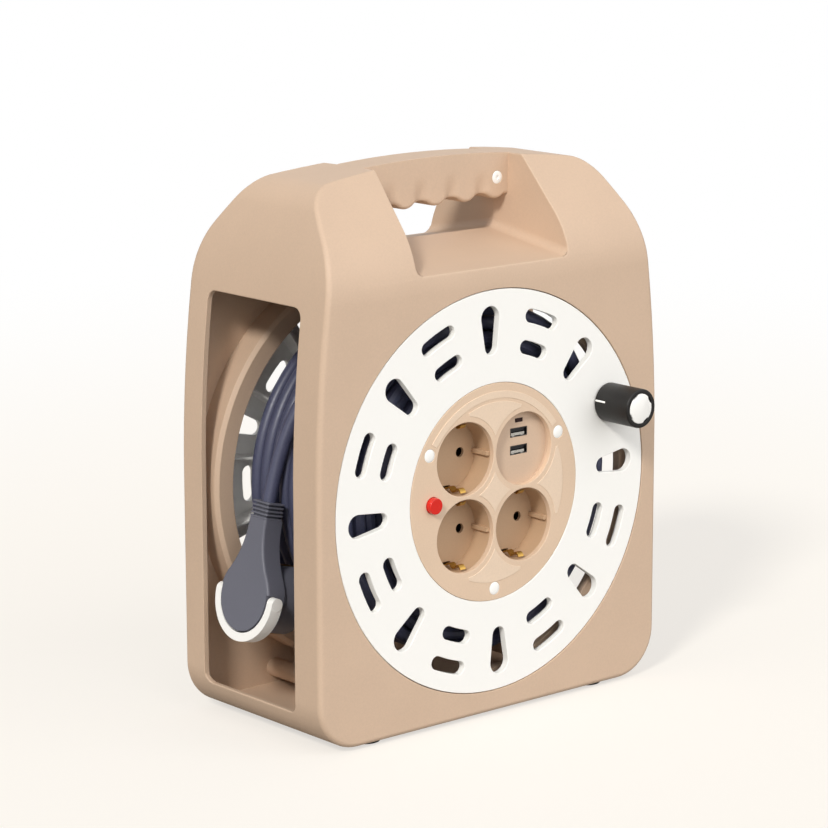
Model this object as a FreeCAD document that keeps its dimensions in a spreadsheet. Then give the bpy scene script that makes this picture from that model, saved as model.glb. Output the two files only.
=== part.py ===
import FreeCAD, Part
import math
import os
import re
import Sketcher
from FreeCAD import Placement, Rotation, Vector

# Extension cord reel: a carrying housing in two halves, a turning reel that shows
# a disc on each face, a socket plate in the middle of the front disc, a crank knob,
# and a cable wound on the drum with its plug parked in the side window.
# Millimetres. X to the right, Y to the rear, Z up. The reel turns about Y.

os.makedirs("parts", exist_ok=True)

SIZES = [
    # Housing
    ("housing_width", 240.8, "widest, side to side"),
    ("housing_depth", 116, "front face to rear face"),
    ("crown_height", 296, "top of the housing above its underside"),
    ("foot_height", 2, "part of each foot below the underside"),
    ("housing_wall", 3.2, "moulded wall"),
    ("bottom_corner", 26, "radius of the lower corners"),
    ("side_straight", 130, "height where the sides start to bow in"),
    ("side_bow", 780, "radius of the bowed side"),
    ("bow_drop", 61, "top of the side bow below the crown"),
    ("shoulder_bow", 165, "radius of the shoulder"),
    ("top_corner", 22, "radius between shoulder and crown"),
    ("crown_bow", 654, "radius of the crown"),
    ("lean_drop", 63, "start of the lean of front and rear faces below the crown"),
    ("lean_bow", 50, "radius of the bend into the lean"),
    ("lean_angle", 41, "lean of the upper faces from upright, degrees"),
    ("edge_round", 3, "rounding between the faces and the sides"),
    # Hand hole and grip
    ("hole_half_mid", 50, "half width of the hand hole at the mid plane"),
    ("hole_half_face", 53.5, "half width of the hand hole at the faces"),
    ("hole_drop_face", 53.8, "floor of the hand hole below the crown, at the faces"),
    ("hole_drop_mid", 43.7, "floor of the hand hole below the crown, at the mid plane"),
    ("hole_corner", 5, "radius of the lower corners of the hand hole"),
    ("grip_half_depth", 11, "half the grip's thickness, front to rear"),
    ("grip_drop", 26.6, "underside of the grip between the fingers, below the crown"),
    ("grip_wave", 3.7, "depth of the finger waves"),
    ("grip_pitch", 21.33, "distance from wave to wave"),
    ("grip_wall", 3, "wall of the hollow grip"),
    ("grip_root", 2, "overlap of the grip with the walls of the hand hole"),
    ("grip_round", 2, "rounding of the grip's lower edges"),
    # Side windows
    ("window_front", 37, "window edge in front of the mid plane"),
    ("window_rear", 40.6, "window edge behind the mid plane"),
    ("window_low", 18.3, "lower window edge"),
    ("window_drop", 65.6, "upper window edge below the crown"),
    ("window_corner", 5.5, "corner radius of the windows"),
    # Seat of the reel in the housing
    ("axis_height", 121.3, "reel axis above the housing's underside"),
    ("disc_radius", 109, "both flanges"),
    ("disc_gap", 0.45, "running gap round the flanges"),
    ("disc_set_back", 0.3, "flange faces behind the housing faces"),
    ("collar_wall", 3.05, "collar round the reel opening"),
    ("lip_radius", 101.2, "bore of the collar's inner lip"),
    ("lip_thick", 5, "thickness of the inner lip"),
    ("lip_chamfer", 2, "bevel on the collar's inner edge"),
    ("end_play", 0.4, "gap between flange and lip along the axis"),
    # Flanges
    ("front_rim", 9.3, "depth of the front flange"),
    ("rear_rim", 14.1, "depth of the rear flange"),
    ("flange_skin", 3, "face of the flanges"),
    ("rim_wall", 3, "rim of the flanges"),
    ("slot_wall", 1.6, "wall round each slot of the front flange"),
    ("slot_depth", 4.2, "end of that wall, from the disc face"),
    ("rib_wall", 1.4, "radial ribs on the inner side"),
    ("slot_turn", 2.2, "angle of the first slot, degrees"),
    ("slot_count", 8, "single slots, and pairs of arc slots"),
    ("slot_inner", 74.6, "inner end of a single slot"),
    ("slot_outer", 100.6, "outer end of a single slot"),
    ("slot_inner_width", 8.4, "width at the inner end"),
    ("slot_outer_width", 12.6, "width at the outer end"),
    ("arc_outer", 95.5, "mid radius of the outer arc slots"),
    ("arc_inner", 78.6, "mid radius of the inner arc slots"),
    ("arc_width", 7.4, "width of the arc slots"),
    ("arc_half", 7.2, "half the angle of an arc slot, degrees"),
    # Drum
    ("drum_radius", 62, "outside of the drum sleeve"),
    ("drum_wall", 2.4, "drum sleeve"),
    ("sleeve_seat", 3, "depth of the sleeve's seat in each flange"),
    ("seat_wall", 3, "ring outside the sleeve's seat"),
    ("spigot_wall", 2.3, "spigot inside the sleeve"),
    ("spigot_length", 7, "spigot past the flange's inner side"),
    ("slip_fit", 0.05, "radial gap of pieces that are pushed together"),
    ("tie_circle", 51.5, "radius of the circle of tie posts"),
    ("tie_turn", 15, "angle of the first tie post, degrees"),
    ("tie_post", 4.9, "radius of a tie post"),
    ("tie_front", 25, "length of the front posts, from the disc face"),
    ("tie_grip", 8, "floor under the screw head in a rear post"),
    # Screws
    ("screw_shank", 1.9, "shank radius"),
    ("screw_head", 3.5, "head radius"),
    ("screw_head_thick", 2.6, "head thickness"),
    ("screw_hole", 2.1, "clearance hole radius"),
    ("screw_bite", 14, "length of shank in its pilot hole"),
    ("pilot_spare", 1.2, "pilot hole past the end of its screw"),
    ("head_gap", 0.3, "gap round a screw head"),
    ("post_wall", 1.3, "wall of a post round its screw head"),
    ("low_screw_x", 62, "lower housing screws from the centre"),
    ("low_screw_z", 12, "lower housing screws above the underside"),
    ("high_screw_x", 84, "upper housing screws from the centre"),
    ("high_screw_drop", 50, "upper housing screws below the crown"),
    ("housing_screw_floor", 8, "floor under a housing screw's head"),
    ("grip_screw_x", 43, "grip screws from the centre"),
    ("grip_screw_drop", 15, "grip screws below the crown"),
    ("grip_screw_deep", 3.8, "depth of a grip screw's counterbore"),
    ("grip_screw_length", 12, "shank of a grip screw"),
    ("cap_radius", 3.5, "white screw caps"),
    ("cap_thick", 1.2, "thickness of the caps"),
    # Feet
    ("foot_radius", 8, "rubber feet"),
    ("foot_seat", 1.2, "depth of a foot's pocket"),
    ("foot_x", 80, "feet from the centre, sideways"),
    ("foot_y", 45, "feet from the mid plane"),
    # Socket plate
    ("plate_radius", 59, "socket plate"),
    ("plate_gap", 0.2, "gap round the plate"),
    ("plate_thick", 3.2, "face of the plate"),
    ("ledge_radius", 54, "bore of the ledge behind the plate"),
    ("ledge_thick", 2.3, "thickness of the ledge"),
    ("well_offset", 20.8, "socket centres from the axis, both ways"),
    ("well_radius", 19.85, "round wells of the sockets"),
    ("well_wall", 1.8, "wall of a well"),
    ("well_depth", 15.5, "depth of a well"),
    ("well_floor", 2, "floor of a well"),
    ("guide_width", 2.4, "side guides in a well"),
    ("guide_proud", 1.5, "height of the side guides off the wall"),
    ("pin_pitch", 19, "distance between the two pins"),
    ("pin_hole", 2.65, "radius of a pin hole"),
    ("earth_width", 5, "earth strips"),
    ("earth_thick", 0.8, "thickness of the earth strips"),
    ("earth_inset", 1.9, "earth strip's inner face from the well's wall"),
    ("earth_gap", 0.3, "gap round an earth strip in its slot"),
    ("plate_screw_circle", 52.75, "circle of the plate screws"),
    ("plate_screw_turn", 30, "angle of the first plate screw, degrees"),
    ("plate_screw_shank", 1.45, "shank radius"),
    ("plate_screw_head", 3, "head radius"),
    ("plate_screw_deep", 3.4, "depth of the head's seat"),
    ("plate_screw_bite", 10, "length of shank in the lug"),
    ("plate_pad", 5.2, "radius of the pad behind a plate screw"),
    ("pillar_radius", 5, "pillar behind the plate's centre"),
    ("pillar_length", 30.8, "pillar behind the plate's face"),
    # Socket inside
    ("block_radius", 19.5, "contact blocks behind the wells"),
    ("block_thick", 10, "thickness of the contact blocks"),
    ("sleeve_bore", 2.45, "bore of a pin contact"),
    ("sleeve_wall", 0.55, "wall of a pin contact"),
    ("bar_thick", 0.8, "bus bars"),
    ("bar_width", 6, "bus bars"),
    ("bar_low", 5.7, "live bar's cross run below the pins"),
    ("bar_high", 11.3, "neutral bar's cross run above the pins"),
    ("strap_gap", 1.2, "earth straps behind the bus bars"),
    ("terminal_width", 44, "terminal block"),
    ("terminal_deep", 12, "terminal block along the axis"),
    ("terminal_tall", 13, "terminal block's height"),
    # USB insert
    ("usb_depth", 4.3, "depth of the round recess"),
    ("port_width", 12, "USB port shells"),
    ("port_tall", 4.8, "USB port shells"),
    ("port_deep", 14, "USB port shells"),
    ("port_wall", 0.4, "USB port shells"),
    ("port_high", 8.3, "upper port above the recess centre"),
    ("port_low", 1.3, "lower port below the recess centre"),
    ("tongue_thick", 1.4, "tongue inside a port"),
    ("tongue_back", 1.2, "tongue behind the mouth of its port"),
    ("lamp_width", 5.2, "indicator window"),
    ("lamp_tall", 2, "indicator window"),
    ("lamp_high", 14.8, "indicator above the recess centre"),
    ("lamp_proud", 0.2, "indicator in front of the recess floor"),
    ("board_thick", 1.6, "circuit board"),
    ("board_half", 13, "half the circuit board's width"),
    ("case_wall", 1.6, "cover behind the circuit board"),
    ("case_deep", 16, "depth of that cover"),
    # Reset button
    ("button_x", 43.6, "reset button left of the axis"),
    ("button_z", 0.4, "reset button below the axis"),
    ("button_radius", 4.35, "reset button"),
    ("button_gap", 0.15, "gap round the button"),
    ("button_proud", 3, "button in front of the plate"),
    ("button_travel", 1.6, "travel of the button"),
    ("button_flange", 5.6, "radius of the button's stop flange"),
    ("button_flange_thick", 1.5, "stop flange"),
    ("stem_radius", 2.5, "button's stem in the cut-out"),
    ("stem_room", 3.2, "bore in the cut-out past the stem's end"),
    ("guard_radius", 7.4, "ring behind the plate round the button"),
    ("guard_wall", 1.4, "wall of that ring"),
    ("guard_depth", 8.6, "end of that ring, from the plate's face"),
    ("cutout_width", 11, "thermal cut-out"),
    ("cutout_tall", 14.6, "thermal cut-out"),
    ("cutout_deep", 22, "thermal cut-out"),
    # Crank knob
    ("knob_circle", 91, "knob axis from the reel axis"),
    ("knob_turn", 24.6, "angle of the knob, degrees"),
    ("knob_radius", 10.7, "knob grip"),
    ("knob_length", 25, "knob with its cap"),
    ("knob_gap", 0.5, "knob in front of the disc"),
    ("knob_bore_gap", 0.08, "running fit on the spindle"),
    ("spindle_radius", 3, "knob spindle"),
    ("spindle_head", 5.2, "radius of the spindle's head and nut"),
    ("spindle_head_thick", 2, "head of the spindle"),
    ("spindle_nut_thick", 2.6, "nut behind the flange"),
    ("spindle_seat", 3, "depth of the nut's seat"),
    ("knob_boss", 9, "boss on the flange"),
    ("knob_cap_radius", 8.2, "white disc on the knob"),
    ("knob_cap_thick", 1.2, "white disc on the knob"),
    ("knob_cap_stem", 0.4, "spigot under the white disc"),
    # Cable
    ("cable_diameter", 7.6, "outside of the sheath"),
    ("layer_radius", 88, "centre line of the outer layer"),
    ("layer_turns", 10.3, "turns in the outer layer"),
    ("layer_end_turn", 30, "angle where the outer layer ends, degrees"),
    ("layer_front_gap", 1, "outer layer to the front flange"),
    ("layer_rear_gap", 0.5, "outer layer to the rear flange"),
    ("cord_gap", 0.3, "gap between the wound layers and what is round them"),
    ("tail_rise", 10.3, "tail outside the outer layer's centre line where it lifts off"),
    ("tail_last_run", 38, "straight run of the tail at the plug"),
    ("lead_place", 30, "cable's way into the drum, behind the mid plane"),
    ("lead_first", 18, "inner lead's first run, inward"),
    ("lead_second", 35.3, "inner lead's second corner, inward from the drum"),
    ("lead_second_drop", 10, "that corner in front of the way in"),
    ("lead_third", 45.3, "inner lead's last corner, inward from the drum"),
    ("lead_third_drop", 27.3, "that corner in front of the way in"),
    # Plug
    ("plug_out", 117.5, "centre of the plug's face from the reel axis, sideways"),
    ("plug_side", 9.5, "plug behind the mid plane"),
    ("plug_drop", 49.7, "centre of the plug's face below the reel axis"),
    ("plug_lean", 14, "lean of the plug, degrees"),
    ("plug_head", 20.3, "radius of the plug's head"),
    ("plug_thick", 11.8, "thickness of the plug's body"),
    ("plug_neck", 7, "half width of the neck"),
    ("plug_neck_start", 40, "height of the neck above the head's centre"),
    ("plug_edge", 1.5, "rounding of the plug's edges"),
    ("relief_length", 11, "ribbed strain relief"),
    ("relief_root", 2, "plug's neck below the ribbed part"),
    ("relief_slots", 4, "slots in the strain relief"),
    ("relief_slot_deep", 1.8, "depth of those slots"),
    ("barrel_radius", 18.5, "part of the plug that enters a socket"),
    ("barrel_length", 17, "length of that part"),
    ("plug_pin_radius", 2.4, "plug pins"),
    ("plug_pin_length", 19, "plug pins"),
    ("plug_pin_root", 5, "length of a pin inside the barrel"),
    ("plug_clip_length", 12, "earth strips on the barrel"),
    ("ring_outer", 24, "pull ring"),
    ("ring_band", 4.6, "radial thickness of the pull ring"),
    ("ring_wide", 7, "width of the pull ring"),
    ("ring_set_back", 0.6, "pull ring behind the plug's face"),
    ("ring_gap", 0.3, "gap between ring and plug"),
    ("ring_sweep", 0.5, "how far the folding ring reaches inside its own bore"),
    ("ring_end", 3.5, "radius of the ring's ends"),
    ("ring_pin", 1.6, "radius of the ring's pivot stubs"),
    ("ring_pin_length", 2.5, "length of the ring's pivot stubs"),
]

# Places that follow from the sizes
NAMED = {
    "half_depth": "housing_depth / 2",
    "side_bow_top": "crown_height - bow_drop",
    "lean_start": "crown_height - lean_drop",
    "hole_floor_face": "crown_height - hole_drop_face",
    "hole_floor_mid": "crown_height - hole_drop_mid",
    "grip_low": "crown_height - grip_drop",
    "window_high": "crown_height - window_drop",
    "high_screw_z": "crown_height - high_screw_drop",
    "grip_screw_z": "crown_height - grip_screw_drop",
    "mid_offset": "(knob_gap + knob_length - disc_set_back) / 2",
    "axis_up": "foot_height + axis_height",
    "disc_face": "disc_set_back - half_depth",
    "rear_face": "half_depth - disc_set_back",
    "front_inner": "disc_face + front_rim",
    "tie_meet": "disc_face + tie_front",
    "rear_inner": "rear_face - rear_rim",
    "opening_radius": "disc_radius + disc_gap",
    "drum_bore": "drum_radius - drum_wall",
    "cable_radius": "cable_diameter / 2",
    "layer_inside": "layer_radius - cable_radius",
    "plate_back": "disc_face + plate_thick",
    "well_back": "disc_face + well_depth + well_floor",
    "block_back": "well_back + block_thick",
    "half_pitch": "pin_pitch / 2",
    "grip_high": "grip_low + grip_wave",
    "ring_inner": "ring_outer - ring_band",
    "ring_middle": "ring_set_back + ring_wide / 2",
    "post_radius": "screw_head + head_gap + post_wall",
}

doc = FreeCAD.newDocument("ExtensionCordReel")
sheet = doc.addObject("Spreadsheet::Sheet", "Sizes")
for row, (alias, value, meaning) in enumerate(SIZES, start=1):
    sheet.set(f"A{row}", meaning)
    sheet.set(f"B{row}", str(value))
    sheet.setAlias(f"B{row}", alias)
doc.recompute()
ALIASES = {alias for alias, value, meaning in SIZES}


def words(text):
    """Writes an expression with each named place spelled out in cells of the sheet."""

    def spell(match):
        word = match.group()
        if word in NAMED:
            return f"({words(NAMED[word])})"
        return f"Sizes.{word}" if word in ALIASES else word

    return re.sub(r"[a-z_][a-z_0-9]*", spell, str(text))


def number(text):
    """The value of an expression, in millimetres or degrees."""
    return float(sheet.evalExpression(words(text)))


def bind(obj, **expressions):
    """Ties properties of an object to expressions on the sheet."""
    for name, text in expressions.items():
        obj.setExpression(name.replace("__", "."), words(text))
    return obj


def at(obj, x="0", y="0", z="0"):
    """Ties the place of an object to the sheet."""
    return bind(obj, Placement__Base__x=x, Placement__Base__y=y, Placement__Base__z=z)


def from_base(obj):
    """Moves a piece made on the housing's underside into the frame."""
    return at(obj, y="mid_offset", z="foot_height")


def from_axis(obj):
    """Moves a piece made on the reel's axis into the frame."""
    return at(obj, y="mid_offset", z="axis_up")


def box(name, corner, lengths):
    """A block from its lowest corner."""
    block = doc.addObject("Part::Box", name)
    bind(block, Length=lengths[0], Width=lengths[1], Height=lengths[2])
    return at(block, *corner)


def rod(name, radius, start, length, turn=Rotation(Vector(1, 0, 0), -90)):
    """A cylinder along +Y, or along another axis, from the centre of its first end."""
    cylinder = doc.addObject("Part::Cylinder", name)
    cylinder.Placement = Placement(Vector(0, 0, 0), turn)
    bind(cylinder, Radius=radius, Height=length)
    return at(cylinder, *start)


UPWARD = Rotation()
ALONG_X = Rotation(Vector(0, 1, 0), 90)


def fuse(name, *pieces):
    """One solid from pieces that overlap."""
    joined = doc.addObject("Part::MultiFuse", name)
    joined.Shapes = list(pieces)
    return joined


def common(name, *pieces):
    """What the pieces share."""
    shared = doc.addObject("Part::MultiCommon", name)
    shared.Shapes = list(pieces)
    return shared


def group(name, *pieces):
    """Separate solids in one object."""
    bundle = doc.addObject("Part::Compound", name)
    bundle.Links = list(pieces)
    return bundle


def cut(name, base, *tools):
    """The base without its tools."""
    rest = doc.addObject("Part::Cut", name)
    rest.Base = base
    rest.Tool = tools[0] if len(tools) == 1 else fuse(name + "_tools", *tools)
    return rest


def feature(name, shape):
    """A shape worked out from the sheet in this file."""
    made = doc.addObject("Part::Feature", name)
    made.Shape = shape
    return made


def turned(name, profile, start=("0", "0", "0")):
    """A body turned about the Y direction from a closed profile of (radius, y)."""
    body = doc.addObject("PartDesign::Body", name)
    sketch = body.newObject("Sketcher::SketchObject", name + "_profile")
    planes = {plane.Role: plane for plane in body.Origin.OriginFeatures}
    sketch.AttachmentSupport = [(planes["XY_Plane"], "")]
    sketch.MapMode = "FlatFace"
    corners = [Vector(number(radius), number(y), 0) for radius, y in profile]
    for i, corner in enumerate(corners):
        sketch.addGeometry(Part.LineSegment(corner, corners[(i + 1) % len(corners)]), False)
    for i in range(len(corners)):
        sketch.addConstraint(Sketcher.Constraint("Coincident", i, 2, (i + 1) % len(corners), 1))
    for i, (radius, y) in enumerate(profile):
        for kind, text in (("DistanceX", radius), ("DistanceY", y)):
            rule = Sketcher.Constraint(kind, -1, 1, i, 1, number(text))
            place = sketch.addConstraint(rule)
            sketch.setExpression(f"Constraints[{place}]", words(text))
    lathe = body.newObject("PartDesign::Revolution", name + "_turned")
    lathe.Profile = sketch
    lathe.ReferenceAxis = (sketch, ["V_Axis"])
    lathe.Angle = 360
    return at(body, *start)


def ring_at(radius, degrees):
    """X and Z expressions of a point on a circle about the axis."""
    return f"({radius}) * cos({degrees})", f"({radius}) * sin({degrees})"


def arc(first, middle, last):
    """An arc edge through three points."""
    return Part.Arc(first, middle, last).toShape()


def line(first, last):
    """A straight edge."""
    return Part.LineSegment(first, last).toShape()


def round_arc(centre, radius, start, end, place):
    """An arc edge about a centre, from one angle to another, in degrees."""
    spots = []
    for degrees in (start, (start + end) / 2, end):
        turn = math.radians(degrees)
        spots.append(place(centre[0] + radius * math.cos(turn), centre[1] + radius * math.sin(turn)))
    return arc(*spots)


# Housing walls


def outline_arcs(inset):
    """Arcs of the right-hand half of the front outline, from below to the crown."""
    width = number("housing_width / 2")
    corner, bow = number("bottom_corner"), number("side_bow")
    shoulder, top, crown = number("shoulder_bow"), number("top_corner"), number("crown_bow")
    straight = number("side_straight")
    low = (width - corner, corner)
    side = (width - bow, straight)
    first = math.asin((number("side_bow_top") - straight) / bow)
    reach = bow - shoulder
    middle = (side[0] + reach * math.cos(first), side[1] + reach * math.sin(first))
    roof = (0, number("crown_height") - crown)
    away = (middle[0] - roof[0], middle[1] - roof[1])
    far, step = math.hypot(*away), shoulder - top
    spread = math.acos(((crown - top) ** 2 - far**2 - step**2) / (2 * step * far))
    second = math.atan2(away[1], away[0]) - spread
    knee = (middle[0] + step * math.cos(second), middle[1] + step * math.sin(second))
    third = math.atan2(knee[1] - roof[1], knee[0] - roof[0])
    first, second, third = (math.degrees(angle) for angle in (first, second, third))
    return [
        (low, corner - inset, -90, 0),
        (side, bow - inset, 0, first),
        (middle, shoulder - inset, first, second),
        (knee, top - inset, second, third),
        (roof, crown - inset, third, 90),
    ]


def front_form(inset):
    """The front outline, drawn in by the inset, as a bar along Y."""
    depth = number("housing_depth")

    def place(x, z):
        return Vector(x, -depth, z)

    arcs = outline_arcs(inset)
    right = [round_arc(*data, place) for data in arcs]
    left = []
    for (x, z), radius, start, end in arcs:
        left.append(round_arc((-x, z), radius, 180 - start, 180 - end, place))
    (low_x, corner), *_ = arcs[0]
    side = number("housing_width / 2") - inset
    straight = number("side_straight")
    edges = right + left + [
        line(place(-low_x, inset), place(low_x, inset)),
        line(place(side, corner), place(side, straight)),
        line(place(-side, corner), place(-side, straight)),
    ]
    face = Part.Face(Part.Wire(Part.__sortEdges__(edges)))
    return face.extrude(Vector(0, 2 * depth, 0))


def side_form(inset):
    """The side profile, drawn in by the inset, as a bar along X."""
    width, half = number("housing_width"), number("half_depth")
    bow, start = number("lean_bow"), number("lean_start")
    lean, top = number("lean_angle"), number("crown_height") + number("foot_height")

    def profile(sign):
        def place(y, z):
            return Vector(-width, sign * y, z)

        centre = (half - bow, start)
        bend = round_arc(centre, bow - inset, 0, lean, place)
        turn = math.radians(lean)
        knee_y = centre[0] + (bow - inset) * math.cos(turn)
        knee_z = centre[1] + (bow - inset) * math.sin(turn)
        end_y = knee_y - (top - knee_z) * math.tan(turn)
        return place, bend, knee_y, knee_z, end_y

    edges = []
    for sign in (-1, 1):
        place, bend, knee_y, knee_z, end_y = profile(sign)
        edges.append(line(place(0, inset), place(half - inset, inset)))
        edges.append(line(place(half - inset, inset), place(half - inset, start)))
        edges.append(bend)
        edges.append(line(place(knee_y, knee_z), place(end_y, top)))
        edges.append(line(place(end_y, top), place(0, top)))
    face = Part.Face(Part.Wire(Part.__sortEdges__(edges)))
    return face.extrude(Vector(2 * width, 0, 0))


def housing_form(name, inset, edge_round=0):
    """The outer form of the housing, drawn in by the inset, its face edges rounded."""
    form = front_form(inset).common(side_form(inset))
    if edge_round:
        form = form.makeFillet(edge_round, face_edges(form))
    return feature(name, form)


# Least part along Y of the normal of a surface that counts as front or rear face
FACE_TILT = 0.05


def face_edges(form):
    """Edges between the front and rear faces and the surfaces that run along Y."""
    edges = []
    for edge in form.Edges:
        looks = []
        for face in form.Faces:
            if any(own.isSame(edge) for own in face.Edges):
                u_low, u_high, v_low, v_high = face.ParameterRange
                normal = face.normalAt((u_low + u_high) / 2, (v_low + v_high) / 2)
                looks.append(abs(normal.y) > FACE_TILT)
        if looks in ([True, False], [False, True]):
            edges.append(edge)
    return edges


def hand_hole(name, grow):
    """The hand hole from front to rear, grown by a wall, tapering to the mid plane."""
    half = number("half_depth")
    corner = number("hole_corner") + grow
    top = number("crown_height") + number("foot_height")
    narrow, deep = number("hole_half_mid"), number("hole_floor_mid")
    slope_x = (number("hole_half_face") - narrow) / half
    slope_z = (number("hole_floor_face") - deep) / half
    reach = half + number("housing_wall")

    def section(y):
        side = narrow + slope_x * abs(y) + grow
        floor = deep + slope_z * abs(y) - grow

        def place(x, z):
            return Vector(x, y, z)

        edges = [
            line(place(side, top), place(side, floor + corner)),
            round_arc((side - corner, floor + corner), corner, 0, -90, place),
            line(place(side - corner, floor), place(corner - side, floor)),
            round_arc((corner - side, floor + corner), corner, -90, -180, place),
            line(place(-side, floor + corner), place(-side, top)),
            line(place(-side, top), place(side, top)),
        ]
        return Part.Wire(edges)

    front = Part.makeLoft([section(-reach), section(0)], True, True)
    rear = Part.makeLoft([section(0), section(reach)], True, True)
    return feature(name, front.fuse(rear).removeSplitter())


def grip_bar(name):
    """The grip across the hand hole, waved underneath for the fingers."""
    half, pitch = number("grip_half_depth"), number("grip_pitch")
    level = number("grip_low + grip_wave / 2")
    rise = number("grip_wave / 2")
    end = number("hole_half_mid + grip_root")
    top = number("crown_height + foot_height")

    def place(x, z):
        return Vector(x, -half, z)

    waves = 9
    first = -waves * pitch / 4
    edges = []
    for i in range(waves):
        start = first + i * pitch / 2
        apex = level + (rise if i % 2 else -rise)
        middle = place(start + pitch / 4, apex)
        edges.append(arc(place(start, level), middle, place(start + pitch / 2, level)))
    edges.append(line(place(-first, level), place(end, level)))
    edges.append(line(place(end, level), place(end, top)))
    edges.append(line(place(end, top), place(-end, top)))
    edges.append(line(place(-end, top), place(-end, level)))
    edges.append(line(place(-end, level), place(first, level)))
    bar = Part.Face(Part.Wire(edges)).extrude(Vector(0, 2 * half, 0))
    lowest = number("grip_low + grip_wave") + number("grip_round") / 2
    lower = [edge for edge in bar.Edges if edge.BoundBox.ZMax < lowest]
    along = [edge for edge in lower if edge.BoundBox.YLength < half]
    return feature(name, bar.makeFillet(number("grip_round"), along))


def rounded_block(corner, lengths, axis, radius):
    """A block whose four edges along an axis are rounded."""
    block = Part.makeBox(*lengths, corner)
    edges = []
    for edge in block.Edges:
        if abs(edge.tangentAt(edge.FirstParameter).dot(axis)) > 0.9:
            edges.append(edge)
    return block.makeFillet(radius, edges)


def window_voids(name):
    """The two openings through the housing's sides."""
    front, rear = number("window_front"), number("window_rear")
    low, high = number("window_low"), number("window_high")
    reach = number("housing_wall") * 4
    outside = number("housing_width / 2 + housing_wall")
    lengths = (reach + number("housing_wall"), front + rear, high - low)
    voids = []
    for x in (-outside, outside - lengths[0]):
        corner = Vector(x, -front, low)
        voids.append(rounded_block(corner, lengths, Vector(1, 0, 0), number("window_corner")))
    return feature(name, Part.makeCompound(voids))


outer = housing_form("outer_form", 0, number("edge_round"))
inner = housing_form("inner_form", number("housing_wall"))
hole = hand_hole("hand_hole_void", 0)
hole_block = common("hand_hole_block", outer, hand_hole("hand_hole_outside", number("housing_wall")))
walls = cut("housing_walls", outer, inner)
open_walls = cut("open_walls", walls, window_voids("window_voids"))
lined = cut("lined_walls", fuse("walls_and_liner", open_walls, hole_block), hole)
grip = common("grip_solid", outer, grip_bar("grip_bar"))
grip_room = box(
    "grip_room_box",
    ("-hole_half_mid + grip_root", "grip_wall - grip_half_depth", "grip_high + grip_wall"),
    ("2 * hole_half_mid - 2 * grip_root", "2 * grip_half_depth - 2 * grip_wall", "crown_height"),
)
hollow_grip = cut("hollow_grip", grip, common("grip_room", inner, grip_room))
whole_housing = fuse("whole_housing", lined, hollow_grip)


def rod_y(name, radius, x, z, first, second):
    """A cylinder along Y between two places, given in either order."""
    if number(first) > number(second):
        first, second = second, first
    return rod(name, radius, (x, first, z), f"({second}) - ({first})")


SCREW_PLACES = [
    ("low_right", "low_screw_x", "low_screw_z"),
    ("low_left", "-low_screw_x", "low_screw_z"),
    ("high_right", "high_screw_x", "high_screw_z"),
    ("high_left", "-high_screw_x", "high_screw_z"),
]
GRIP_SCREWS = [("right", "grip_screw_x", -1), ("left", "-grip_screw_x", 1)]


def collar(name, toward, inner_side):
    """The ring that the flange runs in, with the lip that keeps it from moving inward."""
    lip_back = f"{inner_side} - {toward} * end_play"
    lip_front = f"{lip_back} - {toward} * lip_thick"
    outside = "opening_radius + collar_wall"
    face = f"{toward} * (half_depth - housing_wall / 2)"
    profile = [
        ("opening_radius", face),
        (outside, face),
        (outside, f"{lip_front} + {toward} * lip_chamfer"),
        (f"{outside} - lip_chamfer", lip_front),
        ("lip_radius", lip_front),
        ("lip_radius", lip_back),
        ("opening_radius", lip_back),
    ]
    return turned(name, profile, start=("0", "0", "axis_height"))


def housing_posts(name, toward):
    """The screw posts of one half, trimmed to the housing's form."""
    face = f"{toward} * half_depth"
    radius = "post_radius" if toward > 0 else "screw_shank + 2 * post_wall"
    posts = []
    for place, x, z in SCREW_PLACES:
        posts.append(rod_y(f"{name}_{place}", radius, x, z, "0", face))
    for place, x, side in GRIP_SCREWS:
        end = f"{toward} * grip_half_depth"
        posts.append(rod_y(f"{name}_{place}_grip", "post_radius", x, "grip_screw_z", "0", end))
    return common(name, outer, group(name + "_rods", *posts))


def housing_screw_holes(name, toward):
    """Holes for the housing screws and the grip screws in one half."""
    holes = []
    past = f"{toward} * (half_depth + housing_wall)"
    for place, x, z in SCREW_PLACES:
        if toward > 0:
            holes.append(rod_y(f"{name}_{place}", "screw_hole", x, z, "-1", past))
            room = ("screw_head + head_gap", x, z, "housing_screw_floor", past)
            holes.append(rod_y(f"{name}_{place}_head", *room))
        else:
            end = "-screw_bite - pilot_spare"
            holes.append(rod_y(f"{name}_{place}", "screw_shank + slip_fit", x, z, "1", end))
    for place, x, side in GRIP_SCREWS:
        grip_face = f"{side} * grip_half_depth"
        if side == toward:
            floor = f"{side} * (grip_half_depth - grip_screw_deep)"
            hole_name = f"{name}_{place}_grip"
            holes.append(rod_y(hole_name, "screw_hole", x, "grip_screw_z", f"{-side}", grip_face))
            room = ("cap_radius + slip_fit", x, "grip_screw_z", floor, f"{grip_face} + {side}")
            holes.append(rod_y(hole_name + "_head", *room))
        else:
            reach = "grip_screw_length + grip_screw_deep - grip_half_depth"
            end = f"{toward} * ({reach} + pilot_spare)"
            pilot = ("screw_shank + slip_fit", x, "grip_screw_z", f"{-toward}", end)
            holes.append(rod_y(f"{name}_{place}_grip", *pilot))
    return fuse(name, *holes)


def foot_places():
    """Names and places of the four feet."""
    for side, x in (("right", "foot_x"), ("left", "-foot_x")):
        for end, y in (("front", "-foot_y"), ("rear", "foot_y")):
            yield f"{end}_{side}", x, y


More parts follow.
